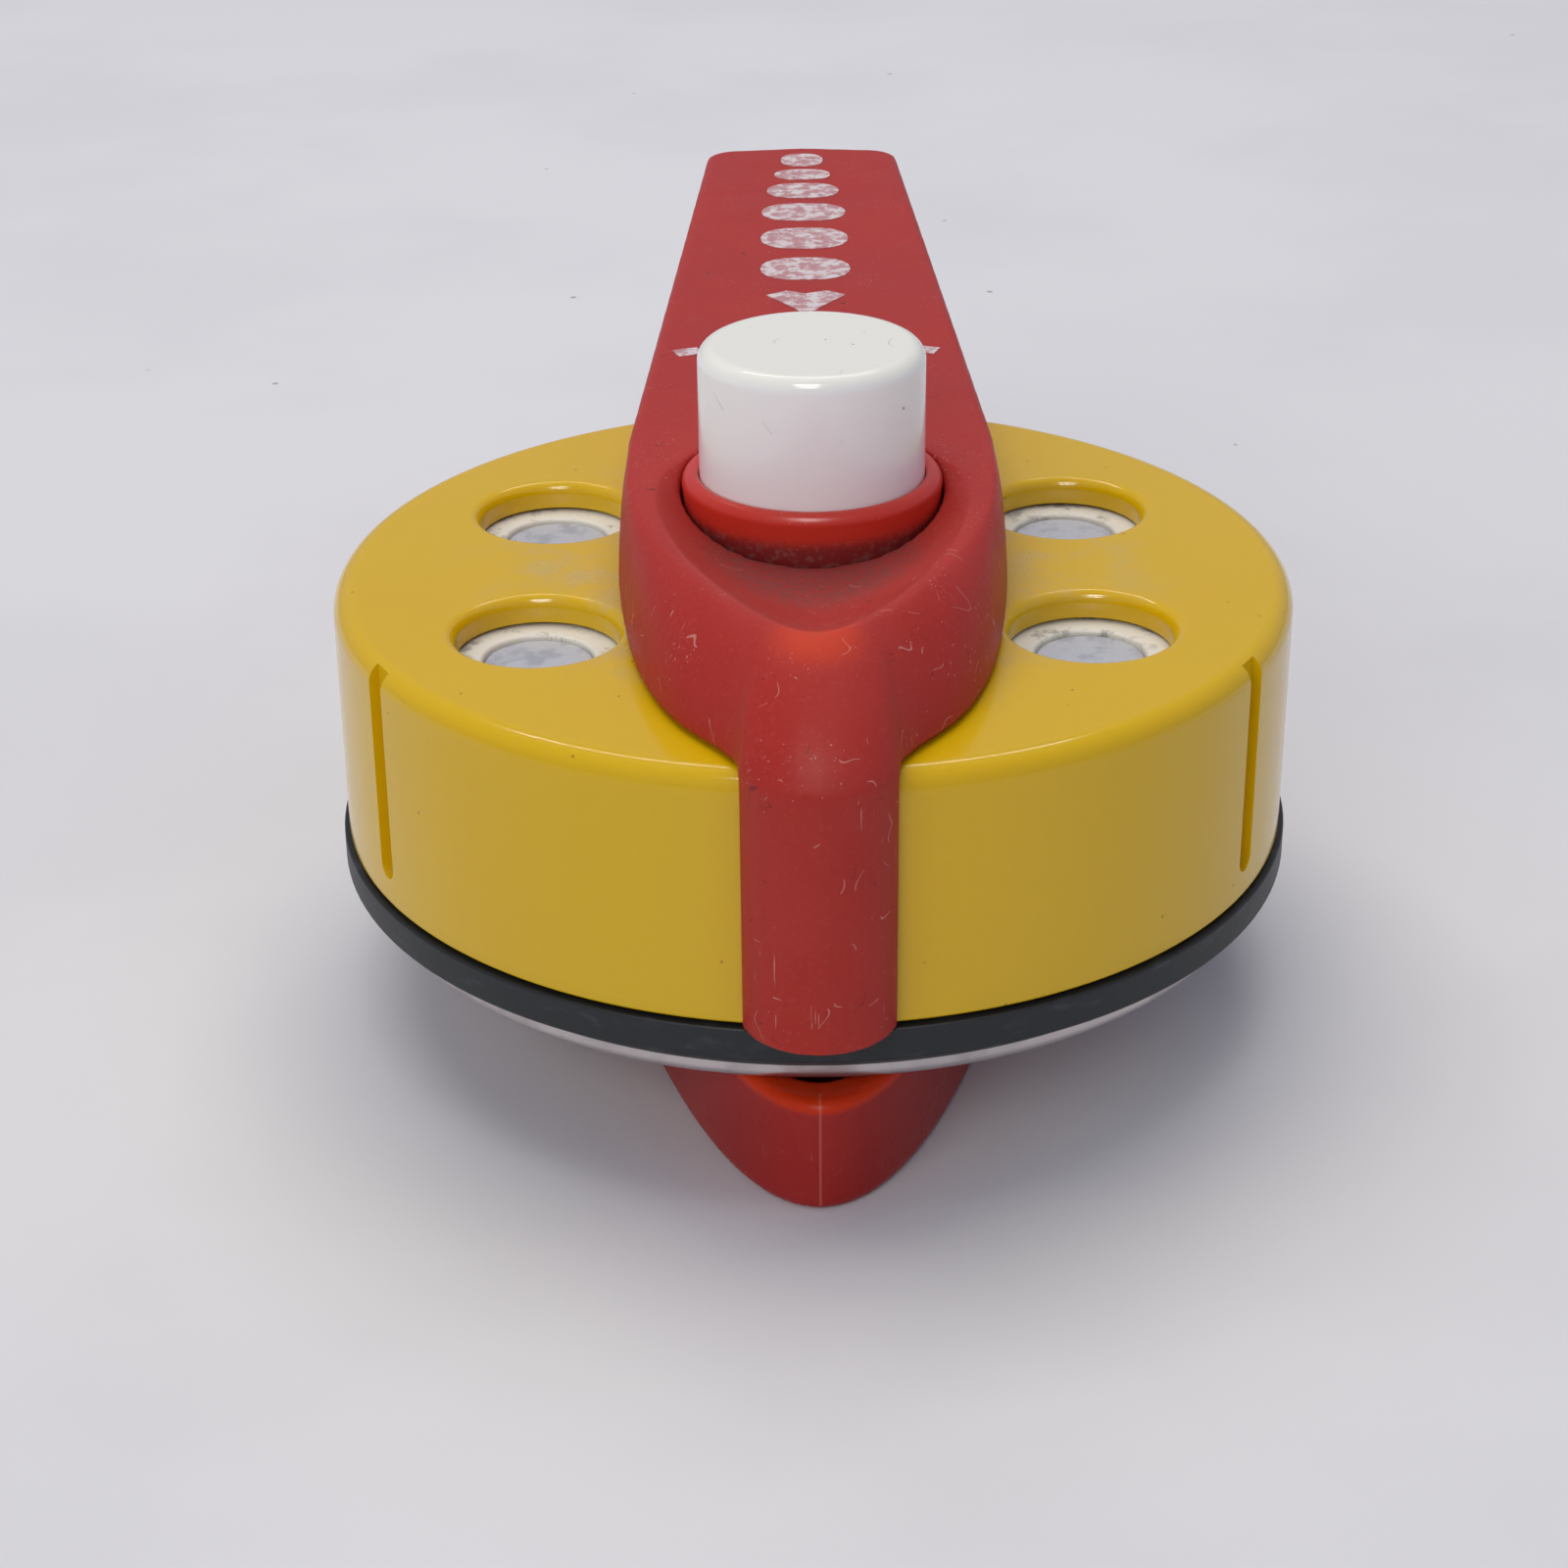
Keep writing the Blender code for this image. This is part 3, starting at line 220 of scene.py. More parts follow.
def redMoulding(name="redMoulding", base=None, dusty=1.0, rough=0.44):
    made, tree, shader = startMaterial(name, rough)
    base = base or redLook["base"]
    cloud = ramp(tree, grain(tree, 16 * mm, 3), 0.35, 0.70)
    colour = tint(tree, cloud, base, redLook["bloom"], 0.22 * dusty)
    fine = ramp(tree, grain(tree, 0.5 * mm, 5), 0.48, 0.74)
    colour = tint(tree, fine, colour, redLook["bloom"], 0.35 * dusty)
    # Painted shade and soil: dark patches in the hollow in front of the collar.
    foot = multiply(tree, near(tree, (0, -13 * mm, hubTop - 5.5 * mm), 15 * mm, 6 * mm),
                    ramp(tree, grain(tree, 0.45 * mm, 5, rough=0.75), 0.36, 0.58))
    colour = tint(tree, foot, colour, redLook["soil"], 0.9 * dusty)
    marks = scratches(tree, 4.5 * mm, 0.2 * mm, (0.2, 0.3, 0.35), 0.70)
    colour = tint(tree, marks, colour, redLook["dust"], 0.7 * dusty)
    front = near(tree, (0, -34 * mm, coverTop - 5.6 * mm), 34 * mm, 22 * mm)
    hairs = multiply(tree, front, lint(tree, 4.2 * mm, 0.0065, 0.60))
    colour = tint(tree, hairs, colour, redLook["dust"], 0.55 * dusty)
    colour = tint(tree, lint(tree, 2.6 * mm, 0.008, 0.63), colour, (0.10, 0.015, 0.015), 0.6 * dusty)
    colour = tint(tree, specks(tree, 1.7 * mm, 0.055), colour, redLook["dust"], 0.55 * dusty)
    colour = tint(tree, specks(tree, 3.3 * mm, 0.045), colour, (0.06, 0.01, 0.01), 0.8 * dusty)
    tree.links.new(colour, shader.inputs["Base Color"])
    roughen(tree, shader, cloud, rough - 0.03, rough + 0.08)
    shader.inputs["Subsurface Weight"].default_value = 0.25
    shader.inputs["Subsurface Radius"].default_value = (4 * mm, 0.4 * mm, 0.2 * mm)
    shader.inputs["Subsurface Scale"].default_value = 1.0
    shader.inputs["Specular IOR Level"].default_value = 0.16
    bump(tree, shader, grain(tree, 0.7 * mm, 5), 0.03 * mm, 0.5)
    return made


# The lever's red, with a painted orange highlight along the scoop's lip.
def leverRed():
    made = redMoulding("leverRed")
    tree = made.node_tree
    shader = tree.nodes["Principled BSDF"]
    red = shader.inputs["Base Color"].links[0].from_socket
    # Painted highlight: orange laid into the red along the front of the scoop's lip.
    paintedLipHighlight = near(tree, (0, -37.2 * mm, hubTop - 0.4 * mm), 6.0 * mm, 0.5 * mm)
    tree.links.new(tint(tree, paintedLipHighlight, red, (0.70, 0.060, 0.012), 0.6), shader.inputs["Base Color"])
    return made


# The keeper's deeper red, with a painted orange highlight on the rim round its tip, and the parting line down
# its tip.
def keeperRed():
    made = redMoulding("keeperRed", (0.330, 0.0185, 0.0155), 0.35, 0.26)
    tree = made.node_tree
    shader = tree.nodes["Principled BSDF"]
    red = shader.inputs["Base Color"].links[0].from_socket
    # Painted highlight: orange on the top edge round the tip.
    tipNear = near(tree, (0, -39 * mm, keeperTop), 15 * mm, 8 * mm)
    paintedRimHighlight = multiply(tree, heightAbove(tree, keeperTop - 1.5 * mm, keeperTop - 0.5 * mm), tipNear)
    colour = tint(tree, paintedRimHighlight, red, (0.62, 0.040, 0.004), 0.85)
    split = tree.nodes.new("ShaderNodeSeparateXYZ")
    tree.links.new(place(tree), split.inputs["Vector"])
    side = tree.nodes.new("ShaderNodeMath")
    side.operation = "ABSOLUTE"
    tree.links.new(split.outputs["X"], side.inputs[0])
    seam = multiply(tree, ramp(tree, side.outputs["Value"], 0.16 * mm, 0.04 * mm),
                    ramp(tree, split.outputs["Y"], -44 * mm, -45 * mm))
    tree.links.new(tint(tree, seam, colour, (0.62, 0.20, 0.16), 0.4), shader.inputs["Base Color"])
    return made


def orangeMoulding():
    made, tree, shader = startMaterial("orangeMoulding", 0.28)
    # The lower part of the collar is painted darker red: painted shade where it meets the hollow, with soil
    # greying it in patches.
    low = heightAbove(tree, collarHigh[2] - 4 * mm, collarHigh[2] - 1.8 * mm)
    soil = ramp(tree, grain(tree, 0.8 * mm, 5, rough=0.7), 0.46, 0.66)
    dark = tint(tree, soil, (0.24, 0.022, 0.020), (0.30, 0.12, 0.10), 0.6)
    colour = tint(tree, low, dark, (0.62, 0.040, 0.020), 1.0)
    colour = tint(tree, specks(tree, 1.1 * mm, 0.10), colour, (0.70, 0.30, 0.22), 0.45)
    tree.links.new(colour, shader.inputs["Base Color"])
    shader.inputs["Subsurface Weight"].default_value = 0.3
    shader.inputs["Subsurface Radius"].default_value = (4 * mm, 0.6 * mm, 0.3 * mm)
    shader.inputs["Subsurface Scale"].default_value = 1.0
    bump(tree, shader, grain(tree, 1.2 * mm, 4), 0.03 * mm, 0.5)
    return made


def whiteMoulding():
    made, tree, shader = startMaterial("whiteMoulding", 0.14)
    top = heightAbove(tree, buttonTop - 1.4 * mm, buttonTop - 0.2 * mm)
    colour = tint(tree, top, whiteLook["base"], whiteLook["warm"], 0.8)
    colour = tint(tree, specks(tree, 4.5 * mm, 0.045), colour, whiteLook["speck"], 0.8)
    colour = tint(tree, lint(tree, 5.5 * mm, 0.006, 0.62), colour, (0.45, 0.40, 0.34), 0.45)
    tree.links.new(colour, shader.inputs["Base Color"])
    roughen(tree, shader, ramp(tree, grain(tree, 5 * mm, 4), 0.4, 0.7), 0.12, 0.2)
    shader.inputs["Subsurface Weight"].default_value = 0.05
    shader.inputs["Subsurface Radius"].default_value = (2 * mm, 2 * mm, 1.6 * mm)
    shader.inputs["Subsurface Scale"].default_value = 1.0
    bump(tree, shader, grain(tree, 8 * mm, 2), 0.03 * mm, 0.4)
    return made


# Screen print worn thin, with the red showing through in places.
def wornPrint():
    made, tree, shader = startMaterial("wornPrint", 0.45)
    worn = ramp(tree, grain(tree, 1.6 * mm, 6, rough=0.7), 0.42, 0.60)
    colour = tint(tree, worn, (0.50, 0.24, 0.24), (0.70, 0.62, 0.60), 1.0)
    tree.links.new(colour, shader.inputs["Base Color"])
    return made


def blackRubber():
    made, tree, shader = startMaterial("blackRubber", 0.5)
    worn = ramp(tree, grain(tree, 4 * mm, 5, (1, 1, 2.5)), 0.50, 0.80)
    colour = tint(tree, worn, (0.009, 0.012, 0.014), (0.045, 0.055, 0.060), 0.7)
    tree.links.new(colour, shader.inputs["Base Color"])
    bump(tree, shader, grain(tree, 0.9 * mm, 5), 0.05 * mm, 0.6)
    return made


# Steel with fine rings from the lathe or grinder, and rubber smeared on it above the smear height.
def turnedSteel(name, colour=(0.55, 0.52, 0.52), rough=0.32, ring=0.35 * mm, smear=None):
    made, tree, shader = startMaterial(name, rough, 1.0)
    wave = tree.nodes.new("ShaderNodeTexWave")
    wave.wave_type = "RINGS"
    wave.rings_direction = "Z"
    wave.inputs["Scale"].default_value = 0.3 / ring
    wave.inputs["Distortion"].default_value = 0.4
    wave.inputs["Detail"].default_value = 3
    tree.links.new(place(tree), wave.inputs["Vector"])
    stain = ramp(tree, grain(tree, 7 * mm, 5), 0.42, 0.7)
    tone = tint(tree, stain, colour, tuple(part * 0.72 for part in colour), 0.6)
    if smear:
        tone = tint(tree, heightAbove(tree, smear - 0.1 * mm, smear), tone, (0.03, 0.03, 0.03), 0.9)
    tree.links.new(tone, shader.inputs["Base Color"])
    roughen(tree, shader, stain, rough, rough + 0.18)
    bump(tree, shader, wave.outputs["Fac"], 0.01 * mm, 0.35)
    return made


# Plated or cast metal with handling marks.
def scuffedMetal(name, colour, rough, metallic=1.0, size=2.5 * mm):
    made, tree, shader = startMaterial(name, rough, metallic)
    stain = ramp(tree, grain(tree, size, 6), 0.42, 0.68)
    tone = tint(tree, stain, colour, tuple(part * 0.6 for part in colour), 0.6)
    tone = tint(tree, scratches(tree, 3 * mm, 0.12 * mm, (0, 0, 0.9), 0.66), tone, (0.8, 0.8, 0.8), 0.6)
    tree.links.new(tone, shader.inputs["Base Color"])
    roughen(tree, shader, stain, rough, rough + 0.2)
    bump(tree, shader, grain(tree, size / 4, 4), 0.02 * mm, 0.5)
    return made


def scuffedPlastic(name, colour, dirt, rough, amount=0.7, size=3 * mm):
    made, tree, shader = startMaterial(name, rough)
    soil = ramp(tree, grain(tree, size, 7, rough=0.7), 0.50, 0.66)
    tone = tint(tree, soil, colour, dirt, amount)
    tone = tint(tree, scratches(tree, 3 * mm, 0.16 * mm, (0, 0, 0.7), 0.62), tone, dirt, amount * 0.6)
    tree.links.new(tone, shader.inputs["Base Color"])
    bump(tree, shader, grain(tree, 0.6 * mm, 4), 0.03 * mm, 0.5)
    return made


looks = {
    "yellow_moulding": yellowMoulding(),
    "red_moulding": redMoulding(),
    "orange_red_moulding": orangeMoulding(),
    "white_moulding": whiteMoulding(),
    "black_rubber": blackRubber(),
    "face_steel": turnedSteel("faceSteel", (0.62, 0.57, 0.57), 0.34, smear=faceTop - 1.2 * mm),
    "ground_steel": turnedSteel("groundSteel"),
    "spring_steel": scuffedMetal("springSteel", (0.30, 0.30, 0.32), 0.34),
    "nickel_plating": scuffedMetal("nickelPlating", (0.66, 0.70, 0.76), 0.5, 0.7),
    "plated_screw": scuffedMetal("platedScrew", (0.62, 0.62, 0.60), 0.28, 1.0, 1.2 * mm),
    "cast_aluminium": scuffedMetal("castAluminium", (0.62, 0.63, 0.64), 0.45),
    "brass_bush": turnedSteel("brassBush", (0.62, 0.43, 0.15), 0.3),
    "nylon": scuffedPlastic("naturalNylon", (0.72, 0.70, 0.60), (0.35, 0.32, 0.26), 0.42),
    "white_sleeve": scuffedPlastic("whiteSleeve", (0.76, 0.74, 0.64), (0.16, 0.15, 0.14), 0.42, 0.6),
}
slotOf = {entry["node"]: entry["material_slot"] for entry in frame["record"]["subparts"]}
for nodeName, node in frame["nodes"].items():
    node.data.materials.clear()
    node.data.materials.append(looks[slotOf[nodeName]])
print("materials made:", len(looks))


# Modelling helpers: a bmesh goes in, a finished piece comes out.
def finishPiece(name, bm, nodes, body, slot=None, look=None, sharp=32, weighted=True):
    bmesh.ops.remove_doubles(bm, verts=bm.verts, dist=1e-7)
    bmesh.ops.recalc_face_normals(bm, faces=bm.faces)
    mesh = bpy.data.meshes.new(name)
    bm.to_mesh(mesh)
    bm.free()
    piece = bpy.data.objects.new(name, mesh)
    bpy.context.scene.collection.objects.link(piece)
    slot = slot or slotOf[nodes[0]]
    mesh.materials.append(look or looks[slot])
    mesh.shade_smooth()
    mesh.set_sharp_from_angle(angle=math.radians(sharp))
    if weighted:
        evenOut = piece.modifiers.new("evenNormals", "WEIGHTED_NORMAL")
        evenOut.keep_sharp = True
    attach(piece, body)
    if nodes:
        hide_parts(*nodes)
    return piece


def arcPoints(x, y, radius, start, end, steps):
    turn = (end - start) / steps
    return [(x + radius * math.cos(start + turn * i), y + radius * math.sin(start + turn * i))
            for i in range(steps + 1)]


# Quarter round at a convex corner: quarter 0 is outer top, 1 inner top, 2 inner bottom, 3 outer bottom.
def fillet(x, z, radius, quarter, steps=6):
    start = quarter * math.pi / 2
    cx = x - radius * (1 if quarter in (0, 3) else -1)
    cz = z - radius * (1 if quarter in (0, 1) else -1)
    return arcPoints(cx, cz, radius, start, start + math.pi / 2, steps)


# Turns a closed (radius, height) outline round the Z axis.
def spinProfile(points, steps, at=(0, 0)):
    bm = bmesh.new()
    verts = [bm.verts.new((radius, 0, height)) for radius, height in points]
    edges = [bm.edges.new(pair) for pair in zip(verts, verts[1:] + verts[:1])
             if pair[0].co.x > 1e-9 or pair[1].co.x > 1e-9]
    bmesh.ops.spin(bm, geom=verts + edges, cent=(0, 0, 0), axis=(0, 0, 1), angle=math.tau,
                   steps=steps, use_merge=True)
    bmesh.ops.remove_doubles(bm, verts=bm.verts, dist=1e-7)
    bmesh.ops.recalc_face_normals(bm, faces=bm.faces)
    bmesh.ops.translate(bm, verts=bm.verts, vec=(*at, 0))
    return bm


def prism(outline, bottom, top):
    bm = bmesh.new()
    face = bm.faces.new([bm.verts.new((x, y, bottom)) for x, y in outline])
    raised = bmesh.ops.extrude_face_region(bm, geom=[face])["geom"]
    lifted = [item for item in raised if isinstance(item, bmesh.types.BMVert)]
    bmesh.ops.translate(bm, verts=lifted, vec=(0, 0, top - bottom))
    bmesh.ops.recalc_face_normals(bm, faces=bm.faces)
    return bm


# Skins a stack of equal rings of points and caps both ends.
def loftRings(rings):
    bm = bmesh.new()
    loops = [[bm.verts.new(point) for point in ring] for ring in rings]
    edges = [[bm.edges.new(pair) for pair in zip(loop, loop[1:] + loop[:1])] for loop in loops]
    for low, high in zip(edges, edges[1:]):
        bmesh.ops.bridge_loops(bm, edges=low + high)
    bm.faces.new(loops[0])
    bm.faces.new(loops[-1])
    bmesh.ops.recalc_face_normals(bm, faces=bm.faces)
    return bm


def solidFrom(bm):
    mesh = bpy.data.meshes.new("work")
    bm.to_mesh(mesh)
    bm.free()
    solid = bpy.data.objects.new("work", mesh)
    bpy.context.scene.collection.objects.link(solid)
    return solid


# The evaluated shape of a working object as a bmesh, and the object is removed.
def takeResult(solid):
    graph = bpy.context.evaluated_depsgraph_get()
    mesh = bpy.data.meshes.new_from_object(solid.evaluated_get(graph))
    bm = bmesh.new()
    bm.from_mesh(mesh)
    bpy.data.objects.remove(solid)
    bpy.data.meshes.remove(mesh)
    return bm


# Cuts the tools from a shape, or joins them to it, one after another.
def combine(bm, tools, operation="DIFFERENCE"):
    solid = solidFrom(bm)
    helpers = [solidFrom(tool) for tool in tools]
    for helper in helpers:
        step = solid.modifiers.new("combine", "BOOLEAN")
        step.operation = operation
        step.solver = "EXACT"
        step.object = helper
    result = takeResult(solid)
    for helper in helpers:
        bpy.data.objects.remove(helper)
    return result


# Voxel remesh and smoothing: the soft edges of a moulding.
def moulded(bm, grid, rounds, factor=0.5):
    solid = solidFrom(bm)
    remesh = solid.modifiers.new("grid", "REMESH")
    remesh.mode = "VOXEL"
    remesh.voxel_size = grid
    soften = solid.modifiers.new("soften", "SMOOTH")
    soften.iterations = rounds
    soften.factor = factor
    return takeResult(solid)


# Cover: rounded top edge, stepped windows, index grooves with soft ends.
coverStyle = {"edge": 2.0 * mm, "windowEdge": 1.15 * mm, "windowIn": 0.75 * mm,
              "groove": 2.5 * mm, "grooveDepth": 1.0 * mm, "grooveFoot": 2.6 * mm,
              "wall": 3.0 * mm, "steps": 192}
sleeveBoxes = {n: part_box(f"magnet_sleeve_{n}") for n in range(1, 7)}
magnetSpots = {n: (Vector(low) + Vector(high)) / 2 for n, (low, high) in sleeveBoxes.items()}
sleeveRadius = (sleeveBoxes[3][1][0] - sleeveBoxes[3][0][0]) / 2
sleeveTop = sleeveBoxes[1][1][2]
roofBottom = sleeveTop + 0.3 * mm
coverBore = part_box("lever_handle")[1][0] - 1.0 * mm
windowRadius = sleeveRadius - 0.1 * mm


# Round hole with a broad soft rim.
def windowTool(spot):
    soft = coverStyle["windowEdge"]
    inner = windowRadius - coverStyle["windowIn"]
    flare = arcPoints(inner + soft, coverTop - soft, soft, math.pi, math.pi / 2, 8)
    outline = [(0, roofBottom - mm), (inner, roofBottom - mm)] + flare
    outline += [(inner + soft, coverTop + mm), (0, coverTop + mm)]
    return spinProfile(outline, 72, (spot.x, spot.y))


# Index groove: open at the top edge, round at its foot.
def grooveTool(degrees):
    style = coverStyle
    half = style["groove"] / 2
    foot = coverBottom + style["grooveFoot"] + half
    outline = [(half, coverTop + 2 * mm)] + arcPoints(0, foot, half, 0, -math.pi, 12)
    outline += [(-half, coverTop + 2 * mm)]
    bm = prism(outline, 0, 4 * mm)
    standing = Matrix(((0, 0, 1), (1, 0, 0), (0, 1, 0)))
    bmesh.ops.rotate(bm, verts=bm.verts, cent=(0, 0, 0), matrix=standing)
    bmesh.ops.translate(bm, verts=bm.verts, vec=(coverRadius - style["grooveDepth"], 0, 0))
    turned = Matrix.Rotation(math.radians(degrees), 3, "Z")
    bmesh.ops.rotate(bm, verts=bm.verts, cent=(0, 0, 0), matrix=turned)
    bmesh.ops.recalc_face_normals(bm, faces=bm.faces)
    return bm


def makeCover():
    style = coverStyle
    inside = coverRadius - style["wall"]
    outline = [(coverBore, coverTop), (coverBore, roofBottom), (inside, roofBottom), (inside, coverBottom)]
    outline += fillet(coverRadius, coverBottom, 0.3 * mm, 3, 3)
    outline += fillet(coverRadius, coverTop, style["edge"], 0, 10)
    bm = spinProfile(outline, style["steps"])
    tools = [windowTool(spot) for spot in magnetSpots.values()]
    tools += [grooveTool(30 + 60 * n) for n in range(6)]
    bm = combine(bm, tools)
    return finishPiece("coverShell", bm, ["cover"], "housing", sharp=30)


# Friction ring and steel face.
faceStyle = {"ringWidth": 4.4 * mm, "roll": 1.1 * mm, "lip": 0.5 * mm, "steps": 160}


def makeFrictionRing():
    low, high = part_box("friction_ring")
    lip = faceStyle["lip"]
    inner = high[0] - faceStyle["ringWidth"]
    outline = [(inner, high[2]), (inner, low[2])] + fillet(high[0], low[2], lip, 3, 5)
    outline += fillet(high[0], high[2], 0.25 * mm, 0, 3)
    return finishPiece("frictionRing", spinProfile(outline, faceStyle["steps"]), ["friction_ring"], "housing")


def makeFacePlate():
    low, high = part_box("face_plate")
    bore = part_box("release_plunger")[1][0] + 0.25 * mm
    outline = [(bore, high[2]), (bore, low[2] + 0.2 * mm), (bore + 0.2 * mm, low[2])]
    outline += fillet(high[0], low[2], faceStyle["roll"], 3, 8) + [(high[0], high[2])]
    bm = spinProfile(outline, faceStyle["steps"])
    tools = []
    for n in (1, 2, 3):
        a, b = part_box(f"cover_screw_{n}")
        centre = (Vector(a) + Vector(b)) / 2
        head = (b[1] - a[1]) / 2 + 0.12 * mm
        hole = [(0, low[2] - mm), (head, low[2] - mm), (head, low[2] + 0.15 * mm),
                (1.7 * mm, low[2] + 1.6 * mm), (1.7 * mm, high[2] + mm), (0, high[2] + mm)]
        tools.append(spinProfile(hole, 40, (centre.x, centre.y)))
    for n in (1, 2):
        a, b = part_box(f"keeper_dowel_{n}")
        centre = (Vector(a) + Vector(b)) / 2
        hole = [(0, low[2] - mm), ((b[0] - a[0]) / 2 + 0.2 * mm, low[2] - mm),
                ((b[0] - a[0]) / 2 + 0.2 * mm, high[2] + mm), (0, high[2] + mm)]
        tools.append(spinProfile(hole, 32, (centre.x, centre.y)))
    return finishPiece("steelFace", combine(bm, tools), ["face_plate"], "housing")


# Magnets seen through the windows: a sleeve with a broad rounded lip and a flat plated disc.
magnetStyle = {"lip": 1.0 * mm, "round": 0.35 * mm}


def makeMagnets():
    for n, spot in magnetSpots.items():
        low, high = sleeveBoxes[n]
        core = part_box(f"upper_magnet_{n}")
        wide = (core[1][0] - core[0][0]) / 2
        narrow = wide - magnetStyle["lip"]
        soft = magnetStyle["round"]
        shoulder = core[1][2] - 0.9 * mm
        outline = [(narrow, shoulder), (wide + 0.1 * mm, shoulder), (wide + 0.1 * mm, low[2] + 1.2 * mm),
                   (0, low[2] + 1.2 * mm), (0, low[2]), (sleeveRadius, low[2])]
        outline += fillet(sleeveRadius, high[2], soft, 0, 4) + fillet(narrow, high[2], soft, 1, 4)
        sleeve = spinProfile(outline, 64, (spot.x, spot.y))
        finishPiece(f"magnetSleeve{n}", sleeve, [f"magnet_sleeve_{n}"], "lever")
        top = core[1][2] - 0.1 * mm
        disc = [(0, core[0][2]), (wide, core[0][2]), (wide, shoulder - 0.1 * mm),
                (narrow - 0.1 * mm, shoulder - 0.1 * mm)]
        disc += fillet(narrow - 0.1 * mm, top, soft, 0, 4) + [(0, top)]
        finishPiece(f"magnetDisc{n}", spinProfile(disc, 64, (spot.x, spot.y)), [f"upper_magnet_{n}"], "lever")


# Lever: one soft moulding made of a lofted hub and arm, the nose, the boss and the scoop.
leverStyle = {"grid": 0.38 * mm, "rounds": 3, "bridge": 37.4 * mm, "boss": 15 * mm,
              "noseRadius": 6.9 * mm, "noseReach": 5.2 * mm,
              "endCorner": 3.0 * mm, "endBow": 1.0 * mm, "endHalfWidth": 11.6 * mm,
              "armEdge": {0: 0.45 * mm, 0.07: 0.05 * mm, 0.90: 0.06 * mm, 0.96: 0.25 * mm, 1: 0.9 * mm},
              "wall": 2.4 * mm, "rib": 1.6 * mm, "rows": 6, "firstPocket": 24 * mm, "pocketDepth": 5.6 * mm}
hubBottom = coverTop + 0.3 * mm
hubHalf = leverHigh[0]
armEnd = leverHigh[1]


# Catmull-Rom curve through a few knots.
def smoothLine(knots, steps):
    knots = [Vector(knot) for knot in knots]
    ends = [2 * knots[0] - knots[1]] + knots + [2 * knots[-1] - knots[-2]]
    points = []
    for a, b, c, d in zip(ends, ends[1:], ends[2:], ends[3:]):
        for i in range(steps):
            t = i / steps
            points.append(0.5 * (2 * b + (c - a) * t + (2 * a - 5 * b + 4 * c - d) * t * t
                                 + (3 * b - a - 3 * c + d) * t * t * t))
    return points + [knots[-1]]


def armHalf(y):
    return hubHalf + (leverStyle["endHalfWidth"] - hubHalf) * y / armEnd


# Height share, inset of the nose and inset of the flanks: upright below, rounded over to the top.
bowLevels = [(0, 0, 0), (0.07, 0.010, 0.005), (0.21, 0.08, 0.045), (0.37, 0.19, 0.115), (0.54, 0.34, 0.22),
             (0.69, 0.50, 0.35), (0.81, 0.65, 0.49), (0.90, 0.79, 0.66), (0.96, 0.90, 0.82), (1, 1, 1)]


def leverBody():
    style = leverStyle
    noseCentre = coverRadius + style["noseReach"] - style["noseRadius"]
    shares = [(0, 1.0), (0.11, 0.992), (0.24, 0.968), (0.40, 0.925), (0.56, 0.865), (0.70, 0.775),
              (0.81, 0.665), (0.885, 0.55), (0.94, 0.455)]
    base = [(hubHalf * width, -noseCentre * share) for share, width in shares]
    base += arcPoints(0, -noseCentre, style["noseRadius"], 0, -math.pi / 2, 5)
    shares = [(-0.16, 0.945), (-0.04, 0.943), (0.10, 0.925), (0.24, 0.875), (0.38, 0.80), (0.51, 0.71),
              (0.63, 0.61), (0.73, 0.51), (0.81, 0.415), (0.88, 0.305), (0.93, 0.22), (0.965, 0.145),
              (0.985, 0.09), (0.996, 0.045), (1.0, 0)]
    top = [(hubHalf * width, -style["bridge"] * share) for share, width in shares]
    base = smoothLine(base, 3)
    top = smoothLine(top, 3)
    corner = armEnd - style["endBow"] - style["endCorner"]
    arm = [Vector((armHalf(corner * share), corner * share)) for share in (0.1, 0.3, 0.5, 0.7, 0.85)]
    bend = arcPoints(armHalf(corner) - style["endCorner"], corner, style["endCorner"], 0, math.pi / 2, 6)
    arm += [Vector(point) for point in bend] + [Vector((0, armEnd))]
    rings = []
    for height, noseInset, flankInset in bowLevels:
        side = []
        for a, b in zip(reversed(base), reversed(top)):
            blend = min(1, abs(a.x) / hubHalf) ** 2
            side.append(a.lerp(b, noseInset + (flankInset - noseInset) * blend))
        narrow = style["armEdge"].get(height, 0)
        side += [Vector((max(p.x - narrow, 0), p.y - narrow * p.y / armEnd)) for p in arm]
        loop = side + [Vector((-p.x, p.y)) for p in reversed(side[1:-1])]
        rings.append([(p.x, p.y, hubBottom + (hubTop - hubBottom) * height) for p in loop])
    return loftRings(rings)


# Crescent prism down the front of the cover.
def noseStrip():
    style = leverStyle
    radius = style["noseRadius"]
    centre = coverRadius + style["noseReach"] - radius
    inner = coverRadius + 0.3 * mm
    y = (inner ** 2 + centre ** 2 - radius ** 2) / (2 * centre)
    turn = math.asin((y - centre) / radius)
    outline = arcPoints(0, -centre, radius, math.pi + turn, math.tau - turn, 32)
    edge = math.acos(y / inner)
    outline += arcPoints(0, 0, inner, -math.pi / 2 + edge, -math.pi / 2 - edge, 10)[1:-1]
    return prism(outline, leverLow[2], hubBottom + 0.4 * mm)


def armPockets():
    style = leverStyle
    first = style["firstPocket"]
    room = armEnd - style["endCorner"] - style["wall"] - first
    length = (room - style["rib"] * (style["rows"] - 1)) / style["rows"]
    tools = []
    for row in range(style["rows"]):
        near = first + row * (length + style["rib"])
        far = near + length
        for side in (-1, 1):
            outline = [(side * style["rib"] / 2, near), (side * (armHalf(near) - style["wall"]), near),
                       (side * (armHalf(far) - style["wall"]), far), (side * style["rib"] / 2, far)]
            tools.append(prism(outline, hubBottom - mm, hubBottom + style["pocketDepth"]))
    return tools


